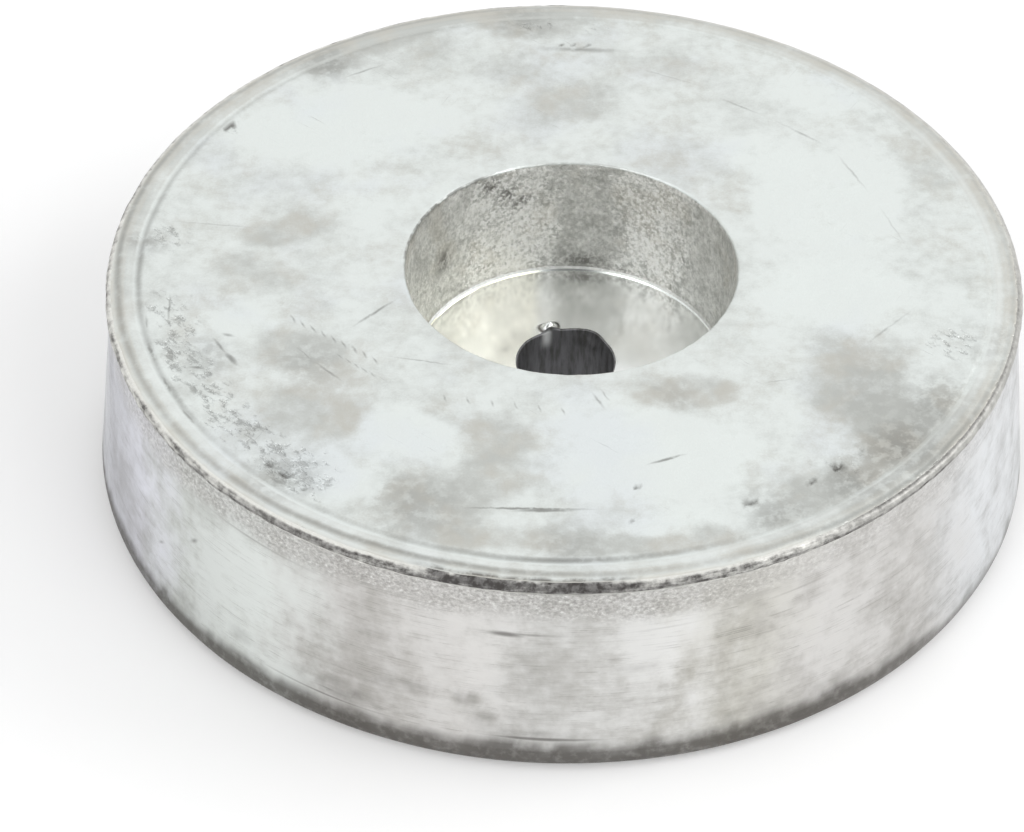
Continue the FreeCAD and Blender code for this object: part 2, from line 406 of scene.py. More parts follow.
def colour(name, default, description):
    """A colour that the panel lets a user pick."""
    return FloatVectorProperty(name=name, description=description, default=default,
                               subtype="COLOR", size=3, min=0, max=1)


class AnodeSizes(bpy.types.PropertyGroup):
    """Sizes of the casting and the insert, in metres."""

    top_level: length("Top level", ZINC_HIGH[2], "Height of the top face above the mounting face")
    widest_radius: length("Widest radius", (ZINC_HIGH[0] - ZINC_LOW[0]) / 2,
                          "Radius of the wall just above the rounded foot")
    base_round: length("Foot round", 1.6 * MM, "Radius of the mounting face's edge")
    wall_top_radius: length("Wall top radius", 49.8 * MM, "Radius of the cast wall below the parting line")
    rough_height: length("Rough strip", 3.0 * MM, "Height of the rough strip below the parting line")
    lip_radius: length("Lip radius", 50.25 * MM, "Radius of the lip at the top edge")
    lip_height: length("Lip height", 1.1 * MM, "Height of the lip above the parting line")
    lip_round: length("Lip round", 0.7 * MM, "Radius of the lip's upper edge")
    line_height: length("Parting line height", 0.5 * MM, "Height of the line below the lip")
    line_depth: length("Parting line depth", 0.35 * MM, "Depth of the line below the lip")
    shoulder_width: length("Shoulder width", 1.7 * MM, "Width of the outer band of the top face")
    shoulder_fall: length("Shoulder fall", 0.2 * MM, "How far the outer band falls to the lip")
    ring_inset: length("Ring inset", 3.4 * MM, "Distance from the lip to the fine ring in the top face")
    ring_width: length("Ring width", 1.1 * MM, "Width of the fine ring")
    ring_depth: length("Ring depth", 0.15 * MM, "Depth of the fine ring")
    core_across: length("Recess shift across", 0.8 * MM, "How far the recess sits off centre, along X")
    core_back: length("Recess shift back", 0.3 * MM, "How far the recess sits off centre, along Y")
    rim_radius: length("Recess rim radius", 18.3 * MM, "Radius of the recess at the top face")
    rim_round: length("Recess rim round", 0.25 * MM, "Radius of the recess's rounded rim")
    foot_radius: length("Recess foot radius", 17.5 * MM, "Radius of the recess's wall at its foot")
    foot_bevel: length("Foot bevel", 0.22 * MM, "Bevel at the foot of the recess's wall")
    hole_edge: length("Hole edge", 0.15 * MM, "Broken edge of the bolt hole")
    burr_height: length("Burr height", 0.8 * MM, "Height of the curled burr on the bolt hole's edge")
    steps_round: IntProperty(
        name="Steps round", description="Number of steps round the casting", default=576, min=48)
    insert_steps_round: IntProperty(
        name="Insert steps round", description="Number of steps round the insert", default=288, min=48)


class AnodeFinish(bpy.types.PropertyGroup):
    """Colours of the zinc and the steel."""

    pale: colour("Pale zinc", (0.80, 0.84, 0.82), "Zinc where the bloom is thin and clean")
    cool: colour("Cool zinc", (0.77, 0.81, 0.83), "Bluish places in the pale zinc")
    grey: colour("Grey zinc", (0.55, 0.565, 0.54), "Zinc where the bloom is thick and stained")
    beige: colour("Beige stain", (0.60, 0.58, 0.52), "Warm stain in the zinc's bloom")
    band: colour("Outer band", (0.66, 0.645, 0.59), "Turned lines in the top's outer band")
    # The pale stripe is a painted highlight beside the fine ring.
    stripe: colour("Pale stripe", (0.85, 0.88, 0.86), "Stripe between the two turned lines")
    # This colour is also painted shade: the fine ring's dark inner line, the wall's foot band, the recess's
    # foot and crevice, and the rim's back left.
    grime: colour("Grime", (0.10, 0.092, 0.082), "Dirt that sits in pits and below the lip")
    bright: colour("Bright zinc", (0.90, 0.91, 0.89), "Freshly rubbed zinc on edges")
    wall_stain: colour("Wall stain", (0.66, 0.65, 0.63), "Stain that darkens the wall's tints")
    strip: colour("Rough strip", (0.60, 0.59, 0.57), "Rough dirty strip below the lip")
    recess_dark: colour("Recess, dark", (0.40, 0.405, 0.38), "Dull places of the recess's wall")
    recess_light: colour("Recess, light", (1.0, 1.0, 0.97), "Light places of the recess's wall")
    # Painted glints in the bright stretches of the recess's wall.
    recess_glint: colour("Recess flecks", (1.0, 1.0, 0.98), "Bright flecks of the recess's wall")
    rust: colour("Rust", (0.52, 0.47, 0.38), "Brownish dirt on the recess's wall")
    # The lip's dark colours are dirt and painted shade; its rubbed colour is rubbed wear and a painted
    # highlight.
    lip_dirt_and_shade: colour("Lip, dark", (0.075, 0.070, 0.067), "Thick dirt on the torn lip")
    lip_dull_dirt_and_shade: colour("Lip, dull", (0.20, 0.195, 0.19), "Thin dirt on the torn lip")
    lip_sheen_and_rub: colour("Lip, rubbed", (0.86, 0.86, 0.82), "Rubbed edge of the lip")
    seat_left: colour("Seat, left", (1.0, 1.0, 0.92), "Left side of the insert's floor")
    seat_right: colour("Seat, right", (0.97, 0.99, 0.98), "Right side of the insert's floor")
    # A painted darker reflection across the middle of the insert's floor.
    seat_dark_reflection: colour("Seat, middle", (0.72, 0.73, 0.71), "Duller middle of the insert's floor")
    seat_cloud: colour("Seat, clouded", (0.58, 0.60, 0.56), "Clouded places of the insert's floor")
    # The bore's dark colours are partly painted shade, and its lit colour a painted reflection.
    bore: colour("Bore", (0.30, 0.30, 0.315), "Dark steel inside the bolt hole")
    bore_dark: colour("Bore, darkest", (0.15, 0.148, 0.145), "Darker streaks inside the bolt hole")
    bore_light: colour("Bore, lit", (0.95, 0.97, 0.97), "Bright streak inside the bolt hole")


class AnodeStage(bpy.types.PropertyGroup):
    """Camera, lamp, light from all round and floor."""

    elevation: angle("Camera elevation", 0.6846, "How far the camera looks down")
    roll: angle("Camera roll", 0.006, "How far the camera is tilted sideways")
    distance: length("Camera distance", 0.400, "From the middle of the top face")
    lens: FloatProperty(
        name="Lens", description="Focal length of the camera", default=127.97, min=10)
    aim_across: length("Aim across", -0.005415, "Where the camera aims, to the right of the top's middle")
    aim_up: length("Aim up", -0.01657, "Where the camera aims, above the top's middle in its own picture")
    sky: FloatProperty(
        name="Sky strength", description="Strength of the even light from all round", default=0.93, min=0)
    lamp_power: FloatProperty(
        name="Lamp power", description="Power of the soft lamp", default=2.6, min=0, subtype="POWER")
    floor: colour("Floor", (0.76, 0.76, 0.76), "Colour of the floor")
    floor_worn: colour("Floor, uneven", (0.73, 0.73, 0.735), "Faint second colour of the floor")


def settings():
    """The property groups of the scene that is being dressed."""
    scene = bpy.context.scene
    return scene.anode_sizes, scene.anode_finish, scene.anode_stage


# Turned surfaces

Ring = namedtuple("Ring", "radius height across back zone share")
Here = namedtuple("Here", "x y z radius degrees front back share")
Relief = namedtuple("Relief", "outward upward tone grime pitting", defaults=(0.0,) * 5)
MARKS = ("tone", "grime", "pitting")
SHARP_EDGE = 38  # degrees between two faces from which their edge is left sharp


class TurnedPath:
    """A closed section that is turned into a surface, ring by ring.

    Each ring has the name of its zone and its share of the way through the stretch that it ends.
    """

    def __init__(self, radius, height, centre, zone):
        self.rings = [Ring(radius, height, *centre, zone, 0.0)]

    def line(self, radius, height, steps, zone, centre=None):
        """Adds rings along a straight stretch to a new radius and height."""
        last = self.rings[-1]
        across, back = centre or (last.across, last.back)
        for step in range(1, steps + 1):
            share = step / steps
            self.rings.append(Ring(
                last.radius + (radius - last.radius) * share,
                last.height + (height - last.height) * share,
                last.across + (across - last.across) * share,
                last.back + (back - last.back) * share,
                zone, share,
            ))

    def bend(self, mid_radius, mid_height, bend_radius, start, end, steps, zone):
        """Adds rings along an arc, between two angles in degrees from the outward direction."""
        last = self.rings[-1]
        for step in range(1, steps + 1):
            share = step / steps
            turn = math.radians(start + (end - start) * share)
            self.rings.append(Ring(
                mid_radius + bend_radius * math.cos(turn),
                mid_height + bend_radius * math.sin(turn),
                last.across, last.back, zone, share,
            ))


def place_of(ring, spot, degrees):
    """A point of the surface in millimetres, with its angles from the front and from the back."""
    x, y, z = (value / MM for value in spot)
    return Here(x, y, z, math.hypot(x, y), degrees,
                signed_angle(degrees - FRONT), signed_angle(BACK - degrees), ring.share)


def ring_of_vertices(bm, layers, ring, steps_round, reliefs):
    """The vertices of one ring, each moved by the relief of its zone and given its marks."""
    row = []
    relief = reliefs.get(ring.zone)
    for step in range(steps_round):
        turn = 2 * math.pi * step / steps_round
        outward = Vector((math.cos(turn), math.sin(turn), 0))
        spot = Vector((ring.across, ring.back, 0)) + outward * ring.radius + Vector((0, 0, ring.height))
        here = relief(place_of(ring, spot, math.degrees(turn))) if relief else Relief()
        vertex = bm.verts.new(spot + (outward * here.outward + Vector((0, 0, here.upward))) * MM)
        for mark, layer in layers.items():
            vertex[layer] = getattr(here, mark)
        row.append(vertex)
    return row


def turn_surface(name, rings, steps_round, reliefs, finish_of_zone, finishes):
    """A closed mesh from rings, each zone with its relief and its finish."""
    mesh = bpy.data.meshes.new(name)
    bm = bmesh.new()
    layers = {mark: bm.verts.layers.float.new(mark) for mark in MARKS}
    rows = [ring_of_vertices(bm, layers, ring, steps_round, reliefs) for ring in rings]
    for index, row in enumerate(rows):
        following = (index + 1) % len(rows)
        for step in range(steps_round):
            beside = (step + 1) % steps_round
            face = bm.faces.new((row[step], row[beside], rows[following][beside], rows[following][step]))
            face.material_index = finish_of_zone[rings[following].zone]
            face.smooth = True
    bmesh.ops.recalc_face_normals(bm, faces=bm.faces)
    bm.to_mesh(mesh)
    bm.free()
    for material in finishes:
        mesh.materials.append(material)
    mesh.set_sharp_from_angle(angle=math.radians(SHARP_EDGE))
    piece = bpy.data.objects.new(name, mesh)
    bpy.context.scene.collection.objects.link(piece)
    return piece


# Zinc casting

LIP_BEVEL_IN, LIP_BEVEL_UP = 0.1 * MM, 0.15 * MM
CREVICE_HEIGHT, CREVICE_FLARE = 0.9 * MM, 0.02 * MM


def casting_rings(sizes):
    """The casting's whole section, from the hole's mouth round the outside and back up the hole."""
    top = sizes.top_level
    floor = STEEL_HIGH[2]
    shoulder = top - sizes.shoulder_fall
    lip_foot = shoulder - sizes.lip_height
    line_foot = lip_foot - sizes.line_height
    edge_radius = sizes.widest_radius - sizes.base_round
    rough_foot = line_foot - sizes.rough_height
    wall_slope = (sizes.widest_radius - sizes.wall_top_radius) / (line_foot - sizes.base_round)
    rough_radius = sizes.wall_top_radius + wall_slope * (line_foot - rough_foot)
    lip_round = sizes.lip_round
    ring_middle = sizes.lip_radius - sizes.ring_inset
    ring_half = sizes.ring_width / 2
    rim_middle = sizes.rim_radius + sizes.rim_round
    core = (sizes.core_across, sizes.core_back)

    path = TurnedPath(HOLE_RADIUS + sizes.hole_edge, 0.0, HOLE_CENTRE, "base")
    path.line(edge_radius, 0.0, 7, "base", (0.0, 0.0))
    path.bend(edge_radius, sizes.base_round, sizes.base_round, -90, 0, 6, "edge")
    path.line(rough_radius, rough_foot, 22, "wall")
    path.line(sizes.wall_top_radius, line_foot, 9, "rough")
    path.line(sizes.wall_top_radius - sizes.line_depth, lip_foot, 2, "line")
    path.line(sizes.lip_radius - LIP_BEVEL_IN, lip_foot, 2, "line")
    path.line(sizes.lip_radius, lip_foot + LIP_BEVEL_UP, 1, "lip")
    path.line(sizes.lip_radius, shoulder - lip_round, 2, "lip")
    path.bend(sizes.lip_radius - lip_round, shoulder - lip_round, lip_round, 0, 83, 7, "brow")
    path.line(sizes.lip_radius - sizes.shoulder_width, top, 4, "shoulder")
    path.line(ring_middle + ring_half, top, 3, "shoulder")
    path.line(ring_middle, top - sizes.ring_depth, 2, "ring_outside")
    path.line(ring_middle - ring_half, top, 3, "ring_inside")
    path.line(rim_middle, top, 56, "top", core)
    path.bend(rim_middle, top - sizes.rim_round, sizes.rim_round, 90, 180, 3, "rim")
    path.line(sizes.foot_radius + CREVICE_FLARE, floor + CREVICE_HEIGHT, 24, "recess")
    path.line(sizes.foot_radius, floor + sizes.foot_bevel, 3, "crevice")
    path.line(sizes.foot_radius - sizes.foot_bevel, floor, 2, "bevel")
    path.line(INSERT_RADIUS, floor, 1, "bed", HOLE_CENTRE)
    path.line(INSERT_RADIUS, STEEL_LOW[2], 1, "bed")
    path.line(HOLE_RADIUS, STEEL_LOW[2], 1, "bed")
    path.line(HOLE_RADIUS, sizes.hole_edge, 3, "bore")
    return path.rings


def patch_tone(patches, across, up):
    """The tone of all patches at a point, with ragged edges."""
    ragged_across = across + waves(across, up, 0, (1.6, 7, 3.1), (0.7, 2.2, 8.4))
    ragged_up = up + waves(across, up, 0, (1.6, 7, 5.7), (0.7, 2.2, 1.9))
    tone = 0.0
    for patch in patches:
        depth = inside(patch, ragged_across, ragged_up)
        if depth > -0.35:
            tone += patch.tone * smooth(depth, -0.3, 0.4)
    return max(-1.3, min(1.0, tone))


def soot(x, y):
    """How dark the smears make a point of the top face."""
    return strongest(SMEARS, x + waves(x, y, 0, (1.5, 5, 71.0)), y + waves(x, y, 0, (1.5, 5, 73.0)))


def top_zone(here):
    """The top face: an uneven skin with pits, blotches and soot."""
    x, y = here.x, here.y
    depth = sunken(0.03, x, y, 0, 9, 2.0) + sunken(0.012, x, y, 0, 1.3, 4.0)
    ragged_x, ragged_y = x + waves(x, y, 0, (0.35, 0.9, 6.0)), y + waves(x, y, 0, (0.35, 0.9, 9.0))
    grime = soot(x, y)
    for pit in TOP_PITS:
        if max(abs(x - pit.across), abs(y - pit.up)) > PIT_REACH:
            continue
        within = inside(pit, ragged_x, ragged_y)
        depth += pit.depth * smooth(within, 0.0, 0.5)
        grime = max(grime, smooth(within, -0.25, 0.35))
    worn_left = 0.75 * (1 - smooth(turned_apart(here.degrees, 212), 14, 32)) * hill(here.radius, 43.0, 4.5)
    pitting = max(worn_left, strongest(PITTED_SPOTS, x, y))
    return Relief(0.0, -depth, patch_tone(TOP_PATCHES, x, y), grime, pitting)


def ring_outside_zone(here):
    """The outer side of the fine ring: painted pale as a highlight, most at the front."""
    wear_and_sheen = 0.45 - 0.3 * smooth(abs(here.front), 35, 70) - 0.2 * smooth(abs(here.front), 100, 130)
    broken = 0.75 + waves(here.x, here.y, here.z, (0.9, 5.0, 55.0))
    tone = patch_tone(TOP_PATCHES, here.x, here.y) + broken * wear_and_sheen
    return Relief(0.0, -sunken(0.012, here.x, here.y, here.z, 1.8, 2.0), tone)


def ring_inside_zone(here):
    """The inner side of the fine ring, which takes the top's soot."""
    tone = patch_tone(TOP_PATCHES, here.x, here.y)
    return Relief(0.0, -sunken(0.012, here.x, here.y, here.z, 1.8, 2.0), tone, soot(here.x, here.y))


def shoulder_zone(here):
    """The outer band of the top: its edge carries the edge's painted highlight, partly rubbed wear, and the
    edge's darkening.
    """
    x, y = here.x, here.y
    edge = smooth(here.radius + waves(x, y, 0, (0.2, 2.0, 57.0)), 49.1, 49.5)
    darkening = smooth(here.radius + waves(x, y, 0, (0.25, 2.0, 57.0)), 48.9, 49.4)
    tone = patch_tone(TOP_PATCHES, x, y) - 0.15 - 0.45 * smooth(abs(here.front), 60, 120)
    # A painted highlight, partly rubbed wear, along the band's outermost edge.
    tone += 1.2 * max(edge_sheen_and_rub(here.front), 0.0) * edge
    grime = max(0.8 * soot(x, y), 1.05 * front_darkening(here.front) * darkening)
    return Relief(0.0, -sunken(0.03, x, y, here.z, 1.8, 2.0), tone, grime)


def brow_zone(here):
    """The rounding of the top's edge: torn, but calmer at the front left and on the right."""
    x, y, z = here.x, here.y, here.z
    torn = 1 - 0.65 * smooth(here.front, 20, 45) - 0.45 * hill(here.front, -34, 20)
    outward = torn * waves(x, y, z, (0.08, 3.2, 17.0), (0.05, 0.9, 11.0)) - 0.05
    # Painted shade below and a painted highlight above, from brow_tone.
    tone = brow_tone(here.front, here.share) + 0.3 * torn * wobble(x, y, z, 4.0, 25.0)
    return Relief(outward, -sunken(0.03, x, y, z, 1.8, 2.0), tone, 0.0, 1.1 * (1 - torn))


def lip_zone(here):
    """The lip of flash: ragged, with a wavy lower edge, and dark with dirt and painted shade, most at the
    front.
    """
    x, y, z = here.x, here.y, here.z
    outward = waves(x, y, z, (0.08, 3.2, 17.0), (0.07, 0.9, 11.0)) - 0.05
    upward = waves(x, y, 0, (0.12, 1.6, 19.0)) * (1 - smooth(z, 23.6, 24.1))
    # Darker at the front: dirt and painted shade.
    tone = -1.0 + 0.55 * smooth(abs(here.front), 42, 70) - 0.2 * front_darkening(here.front)
    tone += waves(x, y, 0, (0.4, 7.0, 75.0))
    return Relief(outward, upward, tone, 0.0, 0.5 * smooth(here.front, 20, 45))


def line_zone(here):
    """The parting line below the lip: uneven, and dark with dirt and painted shade in its groove, most at
    the front.
    """
    outward = waves(here.x, here.y, here.z, (0.12, 1.3, 27.0)) - 0.05
    tone = -0.95 + 0.35 * smooth(abs(here.front), 45, 85) + waves(here.x, here.y, 0, (0.3, 6.0, 77.0))
    return Relief(outward, 0.0, tone)


ROUGH_STARTS, ROUGH_IN_FULL = 18.8, 21.4  # heights of the rough strip's ragged foot, in millimetres


def rough_share(here):
    """How far a point is in the rough strip below the lip, whose foot is ragged.

    The strip is strongest at the front left and weakest at the back right.
    """
    left = 1 - smooth(turned_apart(here.degrees, 248), 25, 75)
    right = 0.45 * (1 - smooth(turned_apart(here.degrees, 310), 15, 50))
    ragged = waves(here.x, here.y, here.z, (1.1, 6.0, 65.0), (0.6, 1.8, 67.0))
    return max(left, right, 0.18) * smooth(here.z + ragged, ROUGH_STARTS, ROUGH_IN_FULL)


def rough_zone(here):
    """The rough strip below the parting line."""
    share = rough_share(here)
    outward = share * (waves(here.x, here.y, here.z, (0.07, 1.3, 31.0), (0.04, 0.7, 33.0)) - 0.05)
    return Relief(outward, 0.0, patch_tone(WALL_PATCHES, here.front, here.z), 0.0, share)


def wall_zone(here):
    """The drafted wall with its rounded foot: a cast skin, dark at the foot with dirt and painted shade, and
    dirty in spots.
    """
    x, y, z = here.x, here.y, here.z
    # Dark foot band: dirt, and painted shade for the reflected dark floor.
    grime = foot_dirt_and_shade(here.front, z + waves(x, y, 0, (0.9, 5, 39.0), (0.5, 1.4, 40.0)))
    darkening = 0.6 + waves(x, y, z * 2.5, (0.9, 1.7, 69.0))
    for spot in WALL_SPOTS:
        grime = max(grime, spot.tone * smooth(inside(spot, here.front, z), -0.2, 0.6) * darkening)
    tone = patch_tone(WALL_PATCHES, here.front, z)
    return Relief(-sunken(0.03, x * 0.3, y * 0.3, z, 2.6, 37.0), 0.0, tone, grime, rough_share(here))


def rim_zone(here):
    """The recess's rounded rim: jagged at the back left, with painted highlights in two stretches and
    painted shade on the back left.
    """
    x, y = here.x, here.y
    jag = (1 - smooth(turned_apart(here.degrees, 125), 12, 40)) * 0.16 + 0.04
    outward = jag * waves(x, y, 0, (1.0, 1.4, 41.0), (0.5, 0.6, 43.0))
    # Painted highlights in two stretches, and painted shade on the back left through the grime mark.
    tone = hill(here.back, -22, 13) + hill(here.back, 42, 24) - 0.3
    grime = 0.85 * (1 - smooth(turned_apart(here.degrees, 150), 22, 36)) + waves(x, y, 0, (0.2, 3.0, 59.0))
    return Relief(outward, -sunken(0.04, x, y, 0, 1.2, 45.0), tone, grime)


def recess_skin(here):
    """The rough skin of the recess's wall, a little calmer high up."""
    calmer = 1 - smooth(here.z, 12.0, 14.0) * 0.35
    coarse, fine = (wobble(here.x, here.y, here.z, size, seed) for size, seed in ((1.25, 47.0), (0.6, 49.0)))
    return 0.13 * coarse + 0.09 * fine * calmer


def recess_zone(here):
    """The recess's wall: rough, in light and dark stretches, with dark pits and a painted shadow along its
    foot in the middle.
    """
    return Relief(recess_skin(here), 0.0, recess_tone(here.back, here.z), recess_pits_and_foot_shadow(here.back, here.z))


def crevice_zone(here):
    """The foot of the recess's wall, painted dark for the shade in its crevice, most at the back, and
    running out to the clean bevel.
    """
    grime = (0.2 + 0.6 * hill(turned_apart(here.degrees, 83), 0, 22)) * (1 - 0.5 * here.share)
    return Relief(recess_skin(here) * (1 - here.share), 0.0, recess_tone(here.back, here.z), grime)


def bevel_zone(here):
    """The small bevel at the recess's foot."""
    return Relief(waves(here.x, here.y, here.z, (0.03, 1.5, 51.0)))


CASTING_RELIEFS = {
    "top": top_zone, "ring_outside": ring_outside_zone, "ring_inside": ring_inside_zone,
    "shoulder": shoulder_zone, "brow": brow_zone, "lip": lip_zone, "line": line_zone,
    "rough": rough_zone, "wall": wall_zone, "edge": wall_zone, "rim": rim_zone,
    "recess": recess_zone, "crevice": crevice_zone, "bevel": bevel_zone,
}


def front_darkening(front):
    """How much the top's edge is darkened: it is dark for a stretch just left of the front."""
    return 1 - smooth(turned_apart(front, -4), 9, 15)


def edge_sheen_and_rub(front):
    """How bright the painted highlight on the top's edge is, partly rubbed wear: most at the front left, and
    dull to the right of the front.
    """
    rubbed = 0.6 + 0.6 * hill(front, -30, 28) + 0.1 * hill(front, 22, 12)
    rubbed -= 1.1 * smooth(front, 28, 42) * (1 - smooth(front, 85, 105))
    rubbed *= (1 - 0.9 * smooth(abs(front), 60, 110)) * (1 - front_darkening(front))
    return rubbed + strongest(EDGE_SPARKS, front, 0)


def brow_tone(front, share):
    """The rounding of the top's edge: painted shade below, and a thin painted highlight above that, partly
    rubbed wear.
    """
    bright = 1.5 * edge_sheen_and_rub(front) * hill(share, 0.92, 0.37)
    duller_right = 0.4 * smooth(front, 30, 60) * (1 - smooth(front, 90, 110))
    beside = smooth(abs(front), 30, 65) - duller_right
    base = -0.6 + 0.35 * smooth(share, 0.5, 1.0) + 0.2 * beside
    base -= 0.5 * hill(front, -28, 17) * (1 - smooth(share, 0.45, 0.75))
    return base + bright - 0.95 * front_darkening(front)


def foot_dirt_and_shade(front, z):
    """The dark band at the wall's foot, partly dirt and partly painted shade for the dark floor that the
    rounded foot reflects: strongest at the front, thinner to the right and behind.
    """
    reach = 4.5 - 1.5 * smooth(front, 25, 65) - 1.4 * smooth(-front, 60, 95)
    strength = 1 - 0.35 * smooth(front, 30, 70) - 0.3 * smooth(-front, 75, 110)
    return strength * (1 - smooth(z, reach * 0.55, reach))


def recess_tone(back, z):
    """Light and dark stretches of the recess's wall, by the angle from the back and the height."""
    back += 9 * wobble(back, z * 2, 0, 7.0, 79.0) + 4 * wobble(back, z * 4, 0, 3.0, 81.0)
    pale = 1.6 * hill(back, -24, 25) + 1.2 * hill(back, 31, 20)
    dull = 0.7 * hill(back, 6, 18) + 0.6 * hill(back, -62, 30) + 0.7 * hill(back, 72, 36)
    return pale * (1.1 - 0.05 * (z - 10)) - dull


def recess_pits_and_foot_shadow(back, z):
    """Dark pits high on the far left of the recess's wall, and a painted shadow along its foot in the
    middle.
    """
    pits = strongest(RECESS_PITS, back * MM_PER_DEGREE, z)
    foot = hill(back, 4, 19) * hill(z, 11.2, 1.7)
    return max(pits, 0.85 * foot)


# Steel insert

MOUTH_STEP_OUT, MOUTH_STEP_DOWN = 0.12 * MM, 0.1 * MM
BURR_BAND = 2 * MM  # round the hole's edge, where the seat is finely divided
SEAT_BORDER = 0.25 * MM


def insert_rings(sizes):
    """The insert's whole section, from the foot of its hole over the seat and round the hidden rim."""
    core = (sizes.core_across, sizes.core_back)
    seat_radius = sizes.foot_radius - sizes.foot_bevel
    path = TurnedPath(HOLE_RADIUS, STEEL_LOW[2], HOLE_CENTRE, "bore")
    path.line(HOLE_RADIUS, SEAT_LEVEL - sizes.hole_edge, 6, "bore")
    path.line(HOLE_RADIUS + MOUTH_STEP_OUT, SEAT_LEVEL - MOUTH_STEP_DOWN, 2, "mouth")
    path.line(HOLE_RADIUS + sizes.hole_edge, SEAT_LEVEL, 2, "mouth")
    path.line(HOLE_RADIUS + BURR_BAND, SEAT_LEVEL, 8, "seat")
    path.line(seat_radius - SEAT_BORDER, SEAT_LEVEL, 24, "seat", core)
    path.line(seat_radius, SEAT_LEVEL, 2, "seat")
    path.line(seat_radius, STEEL_HIGH[2], 1, "hidden")
    path.line(INSERT_RADIUS, STEEL_HIGH[2], 1, "hidden", HOLE_CENTRE)
    path.line(INSERT_RADIUS, STEEL_LOW[2], 1, "hidden")
    return path.rings


def from_hole(here):
    """How far a point is from the bolt hole's edge, in millimetres."""
    return math.hypot(here.x - HOLE_PLACE[0] / MM, here.y - HOLE_PLACE[1] / MM) - HOLE_RADIUS / MM


def punched_edge(here):
    """How far the punched hole's outline strays: out at one corner, in along a flat, and ragged."""
    beside = 1 - smooth(from_hole(here), 0.2, 1.6)
    if beside <= 0:
        return 0.0
    corner = 0.52 * hill(turned_apart(here.degrees, 62), 0, 31)
    flat = -0.12 * hill(turned_apart(here.degrees, 126), 0, 20)
    ragged = waves(here.x, here.y, 0, (0.04, 1.5, 61.0))
    return (corner + flat + ragged) * beside * smooth(here.z, 7.6, 9.7)


def bore_zone(here):
    """The hole through the plate, with a painted light streak, a reflection, in its far side."""
    streak = hill(turned_apart(here.degrees, 114), 0, 10) * smooth(here.z, 7.1, 9.0)
    return Relief(punched_edge(here), 0.0, streak)


def seat_zone(here):
    """The faced floor up to the hole's edge, where a burr curls up with a darkened ring round its foot."""
    curl = hill(turned_apart(here.degrees, 109), 0, 14) * hill(from_hole(here), 0.6, 1.0)
    upward = curl * settings()[0].burr_height / MM - sunken(0.01, here.x, here.y, 0, 6, 63.0)
    grime = 0.9 * smooth(curl, 0.01, 0.10) * (1 - smooth(curl, 0.20, 0.42))
    return Relief(punched_edge(here), upward, 0.0, grime)


INSERT_RELIEFS = {"bore": bore_zone, "mouth": seat_zone, "seat": seat_zone}


# Materials

